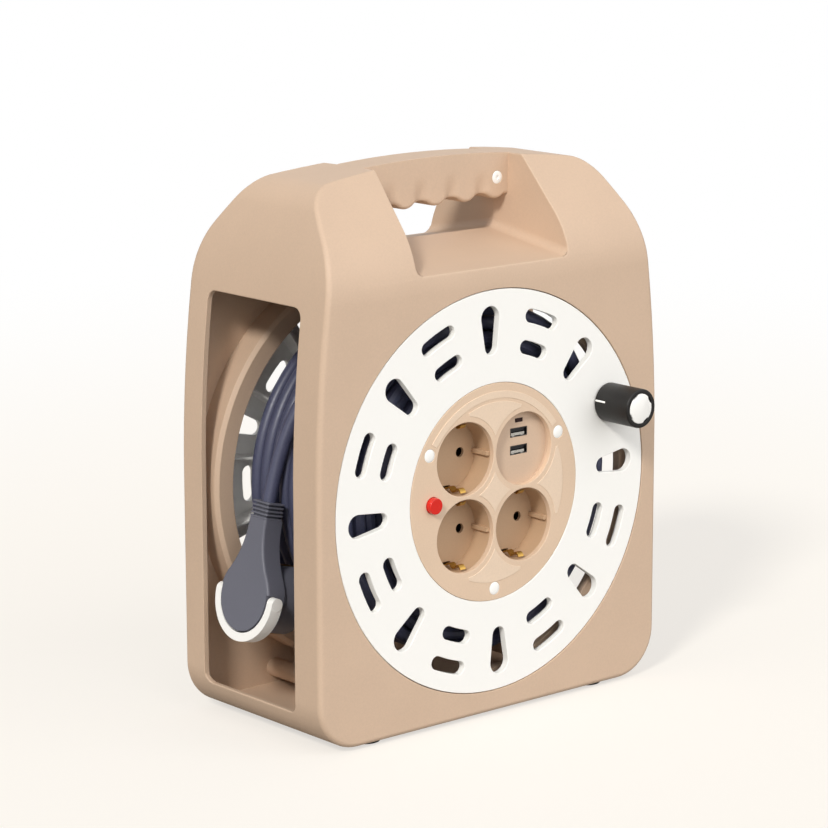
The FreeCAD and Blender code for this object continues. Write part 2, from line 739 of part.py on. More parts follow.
def housing_shell(name, toward):
    """One half of the housing: walls, collar, posts, less opening, holes and foot pockets."""
    half = box(
        name + "_half",
        ("-housing_width", "0" if toward > 0 else "-housing_depth", "-housing_wall"),
        ("2 * housing_width", "housing_depth", "2 * crown_height"),
    )
    skin = common(name + "_skin", whole_housing, half)
    ring = collar(name + "_collar", toward, "rear_inner" if toward > 0 else "front_inner")
    solid = fuse(name + "_solid", skin, ring, housing_posts(name + "_posts", toward))
    inside = f"{toward} * (half_depth - 2 * housing_wall)"
    outside = f"{toward} * (half_depth + housing_wall)"
    opening = rod_y(name + "_opening", "opening_radius", "0", "axis_height", inside, outside)
    pockets = []
    for place, x, y in foot_places():
        if (number(y) > 0) == (toward > 0):
            pocket = rod(
                f"{name}_{place}_pocket",
                "foot_radius + slip_fit",
                (x, y, "-housing_wall"),
                "housing_wall + foot_seat",
                UPWARD,
            )
            pockets.append(pocket)
    holes = housing_screw_holes(name + "_screw_holes", toward)
    return from_base(cut(name, solid, opening, holes, *pockets))


def screw(name, shank_radius, head_radius, head_thick, x, z, seat, toward, length):
    """A pan head screw whose head rests on a seat; toward is the side its head looks to."""
    head = rod_y(name + "_head", head_radius, x, z, seat, f"{seat} + {toward} * ({head_thick})")
    shank = rod_y(name + "_shank", shank_radius, x, z, seat, f"{seat} - {toward} * ({length})")
    return fuse(name, head, shank)


def housing_fasteners():
    """Screws of the housing and the grip, the white caps and the rubber feet."""
    screws = []
    for place, x, z in SCREW_PLACES:
        length = "housing_screw_floor + screw_bite"
        data = ("screw_shank", "screw_head", "screw_head_thick", x, z)
        screws.append(screw(f"housing_screw_{place}", *data, "housing_screw_floor", 1, length))
    from_base(group("housing_screws", *screws))
    screws, caps = [], []
    for place, x, side in GRIP_SCREWS:
        seat = f"{side} * (grip_half_depth - grip_screw_deep)"
        thick = "grip_screw_deep - cap_thick - head_gap"
        data = ("screw_shank", "screw_head - head_gap", thick, x, "grip_screw_z")
        screws.append(screw(f"grip_screw_{place}", *data, seat, side, "grip_screw_length"))
        face = f"{side} * grip_half_depth"
        back = f"{side} * (grip_half_depth - cap_thick - head_gap)"
        caps.append(rod_y(f"grip_cap_{place}", "cap_radius", x, "grip_screw_z", back, face))
    from_base(group("grip_screws", *screws))
    from_base(group("grip_screw_caps", *caps))
    feet = []
    for place, x, y in foot_places():
        length = "foot_height + foot_seat"
        start = (x, y, "-foot_height")
        feet.append(rod(f"foot_{place}", "foot_radius", start, length, UPWARD))
    from_base(group("rubber_feet", *feet))


front_shell = housing_shell("front_shell", -1)
rear_shell = housing_shell("rear_shell", 1)
housing_fasteners()


# Reel flanges and drum


def tapered_slot(degrees, grow, y):
    """Outline of a single slot: two round ends joined by straight sides."""
    small = number("slot_inner_width") / 2
    large = number("slot_outer_width") / 2
    first = number("slot_inner") + small
    second = number("slot_outer") - large
    lean = (small - large) / (second - first)
    rise = math.sqrt(1 - lean**2)
    small, large = small + grow, large + grow
    turn = math.radians(degrees)

    def place(u, v):
        x = u * math.cos(turn) - v * math.sin(turn)
        return Vector(x, y, u * math.sin(turn) + v * math.cos(turn))

    top_in = place(first + small * lean, small * rise)
    low_in = place(first + small * lean, -small * rise)
    top_out = place(second + large * lean, large * rise)
    low_out = place(second + large * lean, -large * rise)
    edges = [
        arc(top_in, place(first - small, 0), low_in),
        line(low_in, low_out),
        arc(low_out, place(second + large, 0), top_out),
        line(top_out, top_in),
    ]
    return Part.Face(Part.Wire(edges))


def arc_slot(radius, degrees, grow, y):
    """Outline of a slot that follows a circle, with round ends."""
    half = number("arc_width") / 2
    reach = math.radians(number("arc_half")) - math.asin(half / radius)
    half += grow
    turn = math.radians(degrees)

    def place(far, angle):
        return Vector(far * math.cos(turn + angle), y, far * math.sin(turn + angle))

    def end_tip(sign):
        centre = place(radius, sign * reach)
        along = Vector(-math.sin(turn + sign * reach), 0, math.cos(turn + sign * reach))
        return centre + along * (sign * half)

    outside, inside = radius + half, radius - half
    edges = [
        arc(place(outside, -reach), place(outside, 0), place(outside, reach)),
        arc(place(outside, reach), end_tip(1), place(inside, reach)),
        arc(place(inside, reach), place(inside, 0), place(inside, -reach)),
        arc(place(inside, -reach), end_tip(-1), place(outside, -reach)),
    ]
    return Part.Face(Part.Wire(edges))


def slot_prisms(name, toward, grow, low, high):
    """All slots of one flange as prisms between two places along Y."""
    count = int(number("slot_count"))
    step = 360 / count
    single, pair = number("slot_turn"), number("slot_turn") + step / 2
    if toward > 0:
        single, pair = pair, single
    faces = []
    for k in range(count):
        faces.append(tapered_slot(single + k * step, grow, low))
        if toward < 0 and k == 0:
            continue
        for radius in ("arc_outer", "arc_inner"):
            faces.append(arc_slot(number(radius), pair + k * step, grow, low))
    prisms = [face.extrude(Vector(0, high - low, 0)) for face in faces]
    return feature(name, Part.makeCompound(prisms))


def flange_ribs(name, low, high):
    """Thin radial ribs between the hub and the rim."""
    count = 2 * int(number("slot_count"))
    inside = number("drum_radius + seat_wall / 2")
    length = number("disc_radius - rim_wall / 2") - inside
    thick = number("rib_wall")
    ribs = []
    for k in range(count):
        rib = Part.makeBox(length, high - low, thick, Vector(inside, low, -thick / 2))
        turn = number("slot_turn") + (k + 0.5) * 360 / count
        rib.rotate(Vector(0, 0, 0), Vector(0, 1, 0), -turn)
        ribs.append(rib)
    return feature(name, Part.makeCompound(ribs))


def flange_profile(face, inward, rim, centre):
    """Profile of a flange: skin, rim, the seat of the drum sleeve and the spigot."""

    def deep(text):
        return f"{face} + {inward} * ({text})"

    return [
        ("disc_radius", face),
        ("disc_radius", deep(rim)),
        ("disc_radius - rim_wall", deep(rim)),
        ("disc_radius - rim_wall", deep("flange_skin")),
        ("drum_radius + seat_wall", deep("flange_skin")),
        ("drum_radius + seat_wall", deep(rim)),
        ("drum_radius + slip_fit", deep(rim)),
        ("drum_radius + slip_fit", deep(f"{rim} - sleeve_seat")),
        ("drum_bore - slip_fit", deep(f"{rim} - sleeve_seat")),
        ("drum_bore - slip_fit", deep(f"{rim} + spigot_length")),
        ("drum_bore - slip_fit - spigot_wall", deep(f"{rim} + spigot_length")),
        *centre(deep),
    ]


def front_centre(deep):
    """The seat of the socket plate and the ledge behind it."""
    ledge = deep("plate_thick + ledge_thick")
    return [
        ("drum_bore - slip_fit - spigot_wall", ledge),
        ("ledge_radius", ledge),
        ("ledge_radius", deep("plate_thick")),
        ("plate_radius + plate_gap", deep("plate_thick")),
        ("plate_radius + plate_gap", deep("0")),
    ]


def rear_centre(deep):
    """The closed middle of the rear flange."""
    return [
        ("drum_bore - slip_fit - spigot_wall", deep("flange_skin")),
        ("0", deep("flange_skin")),
        ("0", deep("0")),
    ]


WELLS = [("high_left", -1, 1), ("low_left", -1, -1), ("low_right", 1, -1)]
USB_X, USB_Z = "well_offset", "well_offset"
TIE_ANGLES = [f"tie_turn + {90 * k}" for k in range(4)]
PLATE_SCREW_ANGLES = [f"plate_screw_turn + {120 * k}" for k in range(3)]
KNOB_X, KNOB_Z = ring_at("knob_circle", "knob_turn")


def well_spots():
    """Names and centres of the three sockets."""
    for name, side, height in WELLS:
        yield name, f"{side} * well_offset", f"{height} * well_offset"


def ring_rods(name, radius, circle, angles, first, second):
    """Equal cylinders along Y on a circle about the reel axis."""
    rods = []
    for k, angle in enumerate(angles):
        x, z = ring_at(circle, angle)
        rods.append(rod_y(f"{name}_{k}", radius, x, z, first, second))
    return rods


def front_flange():
    """The disc on the photographed side, which carries socket plate and knob."""
    plate = turned(
        "front_flange_plate",
        flange_profile("disc_face", 1, "front_rim", front_centre),
    )
    low, inner_side = number("disc_face"), number("front_inner")
    skin = number("flange_skin") / 2
    slot_end = number("disc_face + slot_depth")
    slot_rims = slot_prisms("front_slot_walls", -1, number("slot_wall"), low, slot_end)
    ribs = flange_ribs("front_ribs", low + skin, inner_side)
    boss = rod_y("knob_boss_solid", "knob_boss", KNOB_X, KNOB_Z, "disc_face", "front_inner")
    back = "disc_face + plate_thick + ledge_thick"
    posts = ring_rods("front_tie", "tie_post", "tie_circle", TIE_ANGLES, back, "tie_meet")
    lug_end = "disc_face + plate_screw_deep + plate_screw_bite + post_wall"
    lugs = ring_rods(
        "plate_lug", "plate_pad", "plate_screw_circle", PLATE_SCREW_ANGLES, back, lug_end
    )
    solid = fuse("front_flange_solid", plate, slot_rims, ribs, boss, *posts, *lugs)
    slots = slot_prisms("front_slots", -1, 0, low - skin, inner_side + skin)
    pads = ring_rods(
        "pad_room",
        "plate_pad + head_gap",
        "plate_screw_circle",
        PLATE_SCREW_ANGLES,
        "disc_face + plate_thick / 2",
        back,
    )
    pad_rooms = common(
        "pad_rooms",
        group("pad_room_rods", *pads),
        rod_y("plate_room", "plate_radius + plate_gap", "0", "0", "disc_face", back),
    )
    tie_start = "tie_meet - screw_bite - pilot_spare"
    pilot = "screw_shank + slip_fit"
    holes = ring_rods("tie_pilot", pilot, "tie_circle", TIE_ANGLES, tie_start, "tie_meet + 1")
    plate_pilot = "plate_screw_shank + slip_fit"
    bite = "disc_face + plate_screw_deep + plate_screw_bite"
    circle = "plate_screw_circle"
    holes += ring_rods("lug_pilot", plate_pilot, circle, PLATE_SCREW_ANGLES, "disc_face", bite)
    bore = "spindle_radius + slip_fit"
    front, back_side = "disc_face - 1", "front_inner + 1"
    holes.append(rod_y("knob_bore", bore, KNOB_X, KNOB_Z, front, back_side))
    seat = "front_inner - spindle_seat"
    nut_room = "spindle_head + head_gap"
    holes.append(rod_y("nut_room", nut_room, KNOB_X, KNOB_Z, seat, back_side))
    cup_room = "well_radius + well_wall + head_gap"
    for name, x, z in [*well_spots(), ("usb", USB_X, USB_Z)]:
        end = f"well_back + {int(name == 'usb')}"
        holes.append(rod_y(f"cup_room_{name}", cup_room, x, z, "plate_back", end))
    from_axis(cut("front_flange", solid, slots, pad_rooms, *holes))


def rear_flange():
    """The disc on the far side."""
    profile = flange_profile("rear_face", -1, "rear_rim", rear_centre)
    plate = turned("rear_flange_plate", profile)
    high, inner_side = number("rear_face"), number("rear_inner")
    skin = number("flange_skin") / 2
    ribs = flange_ribs("rear_ribs", inner_side, high - skin)
    solid = fuse("rear_flange_solid", plate, ribs)
    slots = slot_prisms("rear_slots", 1, 0, inner_side - skin, high + skin)
    head_room = ("screw_head + slip_fit", "tie_circle", TIE_ANGLES)
    inside, past = "rear_face - 2 * flange_skin", "rear_face + 1"
    holes = ring_rods("tie_way", *head_room, inside, past)
    from_axis(cut("rear_flange", solid, slots, *holes))
    seat = "rear_face - flange_skin"
    floor = "tie_meet + tie_grip"
    tubes = []
    for k, angle in enumerate(TIE_ANGLES):
        x, z = ring_at("tie_circle", angle)
        tube_wall = rod_y(f"tie_tube_{k}", "tie_post", x, z, "tie_meet", seat)
        hole = rod_y(f"tie_hole_{k}", "screw_hole", x, z, "tie_meet", floor)
        room = rod_y(f"tie_head_room_{k}", "screw_head + slip_fit", x, z, floor, seat)
        tubes.append(cut(f"tie_tube_cut_{k}", tube_wall, hole, room))
    from_axis(group("tie_tubes", *tubes))


def drum():
    """The sleeve that the cable is wound on, with the hole that lets the cable in."""
    start = "front_inner - sleeve_seat + slip_fit"
    end = "rear_inner + sleeve_seat - slip_fit"
    profile = [
        ("drum_bore", start),
        ("drum_radius", start),
        ("drum_radius", end),
        ("drum_bore", end),
    ]
    sleeve = turned("drum_tube", profile)
    hole_start = ("drum_bore - drum_wall", "lead_place", "0")
    hole_radius = "cable_radius + cord_gap"
    lead_hole = rod("lead_hole", hole_radius, hole_start, "3 * drum_wall", ALONG_X)
    from_axis(cut("drum_sleeve", sleeve, lead_hole))
    screws = []
    for k, angle in enumerate(TIE_ANGLES):
        x, z = ring_at("tie_circle", angle)
        data = ("screw_shank", "screw_head - slip_fit", "screw_head_thick", x, z)
        floor = "tie_meet + tie_grip"
        screws.append(screw(f"tie_screw_{k}", *data, floor, 1, "tie_grip + screw_bite"))
    from_axis(group("drum_screws", *screws))


front_flange()
rear_flange()
drum()


# Socket plate and what is behind it

def earth_strip_boxes(name, x, z, gap, start, end):
    """Two upright strips at the top and bottom of a well, grown by a gap."""
    strips = []
    reach = "well_radius - earth_inset"
    for place, sign in (("top", 1), ("low", -1)):
        low = f"{z} + {sign} * ({reach}) - (earth_thick + earth_thick * {sign}) / 2"
        low += " + earth_thick" if sign > 0 else ""
        corner = (f"{x} - earth_width / 2 - {gap}", start, f"{low} - {gap}")
        lengths = (f"earth_width + 2 * {gap}", f"({end}) - ({start})", f"earth_thick + 2 * {gap}")
        strips.append(box(f"{name}_{place}", corner, lengths))
    return strips


def well_guides(name, x, z):
    """The two side guides of a well, trimmed to the middle of its wall."""
    boxes = []
    for side in (-1, 1):
        edge = f"{x} + {side} * (well_radius - guide_proud / 2)"
        corner = (f"{edge} - guide_proud", "plate_back", f"{z} - guide_width / 2")
        lengths = ("2 * guide_proud", "well_depth - plate_thick + well_floor / 2", "guide_width")
        boxes.append(box(f"guide_{name}_{side + 1}", corner, lengths))
    middle = "well_radius + well_wall / 2"
    keep = rod_y(f"guide_room_{name}", middle, x, z, "plate_back", "well_back")
    return common(f"guides_{name}", group(f"guide_pair_{name}", *boxes), keep)


def socket_wells():
    """The three socket wells and the shallow cup of the USB insert, behind the plate."""
    cup = "well_radius + well_wall"
    floor = "disc_face + well_depth"
    front = "plate_back - 1"
    cups = []
    for name, x, z in well_spots():
        wall = rod_y(f"cup_{name}", cup, x, z, "plate_back", "well_back")
        holes = [rod_y(f"well_{name}", "well_radius", x, z, front, floor)]
        for side in (-1, 1):
            pin_x = f"{x} + {side} * half_pitch"
            hole_name = f"pin_hole_{name}_{side + 1}"
            holes.append(rod_y(hole_name, "pin_hole", pin_x, z, front, "well_back + 1"))
        slots = (x, z, "earth_gap", f"{floor} - 1", "well_back + 1")
        holes += earth_strip_boxes(f"earth_slot_{name}", *slots)
        hollow = cut(f"hollow_cup_{name}", wall, *holes)
        cups.append(fuse(f"socket_well_{name}", hollow, well_guides(name, x, z)))
    floor = "disc_face + usb_depth"
    wall = rod_y("usb_cup", cup, USB_X, USB_Z, "plate_back", f"{floor} + well_floor")
    holes = [rod_y("usb_room", "well_radius", USB_X, USB_Z, front, floor)]
    for name, height in (("high", "port_high"), ("low", "-port_low")):
        holes.append(port_box(f"port_hole_{name}", height, "slip_fit", "disc_face", "port_deep"))
    holes.append(lamp_box("lamp_hole", "slip_fit"))
    cups.append(cut("usb_cup_cut", wall, *holes))
    from_axis(group("socket_wells", *cups))


def socket_plate():
    """The flush round plate with the mouths of the wells and the seats of its screws."""
    profile = [
        ("0", "disc_face"),
        ("plate_radius", "disc_face"),
        ("plate_radius", "plate_back"),
        ("0", "plate_back"),
    ]
    solids = [turned("plate_disc", profile)]
    front = "disc_face - 1"
    holes = []
    for name, x, z in [*well_spots(), ("usb", USB_X, USB_Z)]:
        holes.append(rod_y(f"mouth_{name}", "well_radius", x, z, front, "plate_back + 1"))
    ledge = "disc_face + plate_thick + ledge_thick"
    on_circle = ("plate_screw_circle", PLATE_SCREW_ANGLES)
    solids += ring_rods("plate_pad", "plate_pad", *on_circle, "disc_face + plate_thick / 2", ledge)
    seat = "disc_face + plate_screw_deep"
    holes += ring_rods("cap_room", "cap_radius + slip_fit", *on_circle, front, seat)
    wide = "plate_screw_shank + earth_gap / 2"
    holes += ring_rods("plate_screw_hole", wide, *on_circle, seat, f"{ledge} + 1")
    for name, x, z in [*well_spots(), ("usb", USB_X, USB_Z)]:
        room = "well_radius + well_wall + slip_fit"
        holes.append(rod_y(f"cup_clear_{name}", room, x, z, "plate_back", f"{ledge} + 1"))
    pillar_end = "disc_face + pillar_length"
    solids.append(rod_y("pillar", "pillar_radius", "0", "0", "disc_face", pillar_end))
    guard_end = "disc_face + guard_depth"
    solids.append(rod_y("guard", "guard_radius", "-button_x", "-button_z", "disc_face", guard_end))
    inside = "guard_radius - guard_wall"
    past = f"{guard_end} + 1"
    holes.append(rod_y("guard_room", inside, "-button_x", "-button_z", "plate_back", past))
    bore = "button_radius + button_gap"
    holes.append(rod_y("button_hole", bore, "-button_x", "-button_z", front, past))
    from_axis(cut("socket_plate", fuse("plate_solid", *solids), *holes))


def port_box(name, height, gap, start, length):
    """The space of a USB port, grown by a gap."""
    corner = (
        f"{USB_X} - port_width / 2 - {gap}",
        start,
        f"{USB_Z} + {height} - port_tall / 2 - {gap}",
    )
    return box(name, corner, (f"port_width + 2 * {gap}", length, f"port_tall + 2 * {gap}"))


def lamp_box(name, gap):
    """The indicator window, grown by a gap."""
    corner = (
        f"{USB_X} - lamp_width / 2 - {gap}",
        "disc_face + usb_depth - lamp_proud",
        f"{USB_Z} + lamp_high - lamp_tall / 2 - {gap}",
    )
    lengths = (f"lamp_width + 2 * {gap}", "port_deep + lamp_proud", f"lamp_tall + 2 * {gap}")
    return box(name, corner, lengths)


def plate_fasteners():
    """Screws of the socket plate and their white caps."""
    screws, caps = [], []
    seat = "disc_face + plate_screw_deep"
    for k, angle in enumerate(PLATE_SCREW_ANGLES):
        x, z = ring_at("plate_screw_circle", angle)
        thick = "plate_screw_deep - cap_thick - slip_fit"
        data = ("plate_screw_shank", "plate_screw_head", thick, x, z)
        screws.append(screw(f"plate_screw_{k}", *data, seat, -1, "plate_screw_bite"))
        cap_back = "disc_face + cap_thick + slip_fit"
        caps.append(rod_y(f"plate_cap_{k}", "cap_radius", x, z, "disc_face", cap_back))
    from_axis(group("plate_screws", *screws))
    from_axis(group("plate_screw_caps", *caps))


def contact_parts():
    """Contact blocks, brass pin contacts, earth straps and bus bars behind the wells."""
    blocks, contacts, straps = [], [], []
    for name, x, z in well_spots():
        block = rod_y(f"block_{name}_disc", "block_radius", x, z, "well_back", "block_back")
        holes = []
        for side in (-1, 1):
            pin_x = f"{x} + {side} * half_pitch"
            tube = "sleeve_bore + sleeve_wall"
            label = f"{name}_{side + 1}"
            start, end = "well_back", "block_back"
            holes.append(rod_y(f"tube_hole_{label}", f"{tube} + slip_fit", pin_x, z, start, end))
            outside = rod_y(f"tube_{label}", tube, pin_x, z, start, end)
            bore = rod_y(f"tube_bore_{label}", "sleeve_bore", pin_x, z, start, end)
            contacts.append(cut(f"pin_contact_{label}", outside, bore))
        holes += earth_strip_boxes(f"block_slot_{name}", x, z, "earth_gap", "well_back", "block_back")
        blocks.append(cut(f"block_{name}", block, *holes))
        strap_back = "block_back + bar_thick + strap_gap + earth_thick"
        strips = earth_strip_boxes(f"strap_{name}", x, z, "0", "disc_face + flange_skin", strap_back)
        reach = "well_radius - earth_inset + earth_thick"
        bridge = box(
            f"strap_bridge_{name}",
            (f"{x} - earth_width / 2", f"{strap_back} - earth_thick", f"{z} - ({reach})"),
            ("earth_width", "earth_thick", f"2 * ({reach})"),
        )
        straps.append(fuse(f"earth_strap_{name}", *strips, bridge))
    from_axis(group("contact_blocks", *blocks))
    from_axis(group("pin_contacts", *contacts))
    from_axis(group("earth_straps", *straps))
    bus_bars()


def bus_bars():
    """The live bar and the neutral bar, which join the pin contacts."""
    half = "bar_width / 2"
    near, far = "well_offset - half_pitch", "well_offset + half_pitch"

    def bar(name, left, right, low, high):
        corner = (left, "block_back", low)
        return box(name, corner, (f"({right}) - ({left})", "bar_thick", f"({high}) - ({low})"))

    low_edge = f"-well_offset - {half}"
    high_edge = f"well_offset + {half}"
    cross = "-well_offset - bar_low - bar_width / 2"
    outmost, inmost = f"-({far}) - {half}", f"{near} + {half}"
    live = fuse(
        "live_bar",
        bar("live_upright", outmost, f"-({far}) + {half}", cross, high_edge),
        bar("live_cross", outmost, inmost, cross, f"{cross} + bar_width"),
        bar("live_tab", f"{near} - {half}", inmost, cross, f"-well_offset + {half}"),
    )
    high = "-well_offset + bar_high"
    outmost, inmost = f"{far} + {half}", f"-({near}) - {half}"
    neutral = fuse(
        "neutral_bar",
        bar("neutral_upright", inmost, f"-({near}) + {half}", low_edge, high_edge),
        bar("neutral_cross", inmost, outmost, f"{high} - {half}", f"{high} + {half}"),
        bar("neutral_tab", f"{far} - {half}", outmost, low_edge, f"{high} + {half}"),
    )
    from_axis(group("bus_bars", live, neutral))


def usb_insert():
    """Port shells, their tongues, the indicator window, the circuit board and its cover."""
    floor = "disc_face + usb_depth"
    shells, tongues = [], []
    for name, height in (("high", "port_high"), ("low", "-port_low")):
        outside = port_box(f"port_outside_{name}", height, "0", floor, "port_deep")
        deep = "port_deep - port_wall"
        inside = port_box(f"port_inside_{name}", height, "-port_wall", floor, deep)
        shells.append(cut(f"port_{name}", outside, inside))
        corner = (
            f"{USB_X} - port_width / 2 + 2 * port_wall",
            f"{floor} + tongue_back",
            f"{USB_Z} + {height} + port_tall / 2 - 2 * port_wall - tongue_thick",
        )
        lengths = ("port_width - 4 * port_wall", "port_deep - port_wall - tongue_back", "tongue_thick")
        tongues.append(box(f"tongue_{name}", corner, lengths))
    from_axis(group("usb_ports", *shells))
    from_axis(group("usb_tongues", *tongues))
    at(lamp_box("indicator_window", "0"), *lamp_corner())
    left, low = f"{USB_X} - board_half", f"{USB_Z} - board_half + port_low"
    wide, tall = "2 * board_half", "2 * board_half + 2 * port_low"
    corner = (left, f"{floor} + port_deep + mid_offset", f"{low} + axis_up")
    box("usb_board", corner, (wide, "board_thick", tall))
    start = f"{floor} + well_floor"
    long = "case_deep + board_thick"
    around = (f"{left} - case_wall", start, f"{low} - case_wall")
    case = box("usb_case", around, (f"{wide} + 2 * case_wall", long, f"{tall} + 2 * case_wall"))
    room = box("usb_case_room", (left, start, low), (wide, f"{long} - case_wall", tall))
    from_axis(cut("usb_cover", case, room))


def lamp_corner():
    """The indicator's lowest corner in the frame."""
    return (
        f"{USB_X} - lamp_width / 2",
        "disc_face + usb_depth - lamp_proud + mid_offset",
        f"{USB_Z} + lamp_high - lamp_tall / 2 + axis_up",
    )


def reset_button():
    """The red button with its stop flange and stem, and the thermal cut-out it resets."""
    flange = "plate_back + head_gap"
    flange_end = f"{flange} + button_flange_thick"
    profile = [
        ("0", "disc_face - button_proud"),
        ("button_radius", "disc_face - button_proud"),
        ("button_radius", flange),
        ("button_flange", flange),
        ("button_flange", flange_end),
        ("stem_radius", flange_end),
        ("stem_radius", "disc_face + guard_depth + button_travel"),
        ("0", "disc_face + guard_depth + button_travel"),
    ]
    button = turned("reset_button", profile)
    at(button, "-button_x", "mid_offset", "axis_up - button_z")
    corner = ("-button_x - cutout_width / 2", "disc_face + guard_depth", "-button_z - cutout_tall / 2")
    body = box("cutout_block", corner, ("cutout_width", "cutout_deep", "cutout_tall"))
    bore = rod_y(
        "cutout_bore",
        "stem_radius + button_gap",
        "-button_x",
        "-button_z",
        "disc_face + guard_depth - 1",
        "disc_face + guard_depth + button_travel + stem_room",
    )
    from_axis(cut("thermal_cutout", body, bore))


def terminal_and_lead():
    """The terminal block on the pillar and the cable's inner end, which runs to it."""
    front = "disc_face + pillar_length"
    corner = ("-terminal_width / 2", f"{front} + mid_offset", "axis_up - terminal_tall / 2")
    box("terminal_block", corner, ("terminal_width", "terminal_deep", "terminal_tall"))
    back = number("disc_face + pillar_length + terminal_deep")
    start = number("drum_radius - 2 * slip_fit")
    high = number("lead_place")
    inmost = start - number("lead_third")
    route = [
        Vector(start, high, 0),
        Vector(start - number("lead_first"), high, 0),
        Vector(start - number("lead_second"), high - number("lead_second_drop"), 0),
        Vector(inmost, high - number("lead_third_drop"), 0),
        Vector(inmost, back, 0),
    ]
    from_axis(feature("inner_lead", tube("inner_lead", route)))


# Crank knob


def knob_parts():
    """Spindle, nut, turning grip and its white end disc."""
    front = "disc_face - knob_gap - knob_length"
    cap_back = f"{front} + knob_cap_thick"
    head_front = f"{cap_back} + knob_cap_stem + head_gap"
    head_back = f"{head_front} + spindle_head_thick"
    seat = "front_inner - spindle_seat"
    spindle = turned(
        "knob_spindle",
        [
            ("0", head_front),
            ("spindle_head", head_front),
            ("spindle_head", head_back),
            ("spindle_radius", head_back),
            ("spindle_radius", f"{seat} + spindle_nut_thick"),
            ("0", f"{seat} + spindle_nut_thick"),
        ],
    )
    nut = turned(
        "knob_nut",
        [
            ("spindle_radius", seat),
            ("spindle_head", seat),
            ("spindle_head", f"{seat} + spindle_nut_thick"),
            ("spindle_radius", f"{seat} + spindle_nut_thick"),
        ],
    )
    floor = f"{head_back} + head_gap"
    room = "spindle_head + head_gap"
    grip_body = turned(
        "knob_grip",
        [
            ("knob_cap_radius + slip_fit", front),
            ("knob_radius", front),
            ("knob_radius", "disc_face - knob_gap"),
            ("spindle_radius + knob_bore_gap", "disc_face - knob_gap"),
            ("spindle_radius + knob_bore_gap", floor),
            (room, floor),
            (room, cap_back),
            ("knob_cap_radius + slip_fit", cap_back),
        ],
    )
    cap = turned(
        "knob_cap",
        [
            ("0", front),
            ("knob_cap_radius", front),
            ("knob_cap_radius", cap_back),
            (f"{room} - slip_fit", cap_back),
            (f"{room} - slip_fit", f"{cap_back} + knob_cap_stem"),
            ("0", f"{cap_back} + knob_cap_stem"),
        ],
    )
    for piece in (spindle, nut, grip_body, cap):
        at(piece, KNOB_X, "mid_offset", f"axis_up + {KNOB_Z}")


# Cable


def joined_arcs(first, first_way, second, second_way):
    """Two tangent arcs between two points with given directions."""
    gap = second - first
    ways = first_way + second_way
    a = 2 * (first_way.dot(second_way) - 1)
    b = -2 * gap.dot(ways)
    c = gap.dot(gap)
    reach = (-b - math.sqrt(b * b - 4 * a * c)) / (2 * a)
    ahead = first + first_way * reach
    behind = second - second_way * reach
    meeting = (ahead + behind) * 0.5
    return [tangent_arc(first, ahead, meeting), tangent_arc(meeting, behind, second)]


def tangent_arc(first, corner, last):
    """The arc that touches both legs of a corner at equal distance."""
    middle = (first + last) * 0.5
    chord = last - first
    leg = corner - first
    turn = leg.getAngle(chord)
    bulge = chord.Length / 2 * math.tan(turn / 2)
    return arc(first, middle + (corner - middle).normalize() * bulge, last)


def swept(path, start, way):
    """A round tube of the cable's size along a path."""
    radius = number("cable_radius")
    section = Part.Wire(Part.Circle(start, way, radius).toShape())
    tube_shape = path.makePipeShell([section], True, False)
    length = path.Length
    expected = math.pi * radius**2 * length
    share = tube_shape.Volume / expected
    print(f"  length {length:.1f} mm, volume {share:.4f} of section times length")
    if not tube_shape.isValid() or abs(share - 1) > 0.01:
        raise ValueError("a cable tube is not sound")
    return tube_shape


def tube(name, route):
    """A tube along straight runs joined by arcs as large as the runs allow."""
    edges, radii = [], []
    here = route[0]
    for before, corner, after in zip(route, route[1:], route[2:]):
        into, out = corner - before, after - corner
        shorter = min(into.Length, out.Length)
        reach = 0.45 * shorter
        start = corner - Vector(into).normalize() * reach
        end = corner + Vector(out).normalize() * reach
        radii.append(reach / math.tan(into.getAngle(out) / 2))
        edges.append(line(here, start))
        edges.append(tangent_arc(start, corner, end))
        here = end
    edges.append(line(here, route[-1]))
    print(name, "radii", ", ".join(f"{radius:.0f}" for radius in radii))
    return swept(Part.Wire(edges), route[0], route[1] - route[0])


def layer_point(turns_done):
    """A point of the outer layer and its direction, by turns from the rear end."""
    radius = number("layer_radius")
    turns = number("layer_turns")
    rear = number("rear_inner - cable_radius - layer_rear_gap")
    front = number("front_inner + cable_radius + layer_front_gap")
    pitch = (rear - front) / turns
    angle = math.radians(number("layer_end_turn")) + 2 * math.pi * (turns_done - turns)
    point = Vector(radius * math.cos(angle), rear - pitch * turns_done, radius * math.sin(angle))
    way = Vector(-radius * math.sin(angle), -pitch / (2 * math.pi), radius * math.cos(angle))
    return point, way.normalize()


def layer_gap():
    """Least gap between neighbouring turns, measured on points of the centre line."""
    turns = number("layer_turns")
    count = int(turns * 72)
    points = [layer_point(turns * i / count)[0] for i in range(count + 1)]
    least = 1e9
    for i in range(0, count - 50):
        for j in range(i + 50, min(i + 95, count + 1)):
            least = min(least, points[i].distanceToPoint(points[j]))
    return least - number("cable_diameter")


def cable_layer():
    """The outer layer of the wound cable, from the rear flange to the front flange."""
    turns = number("layer_turns")
    steps = math.ceil(turns * 4)
    diameter = number("cable_diameter")
    point, way = layer_point(0)
    start = point - way * diameter
    edges = [line(start, point)]
    for i in range(steps):
        ahead, ahead_way = layer_point(turns * (i + 1) / steps)
        edges += joined_arcs(point, way, ahead, ahead_way)
        point, way = ahead, ahead_way
    end = point + way * diameter
    edges.append(line(point, end))
    print("cable_outer_layer")
    from_axis(feature("cable_outer_layer", swept(Part.Wire(edges), start, edge_way(edges[0]))))
    print(f"  least gap between turns {layer_gap():.2f} mm")
    return end, way


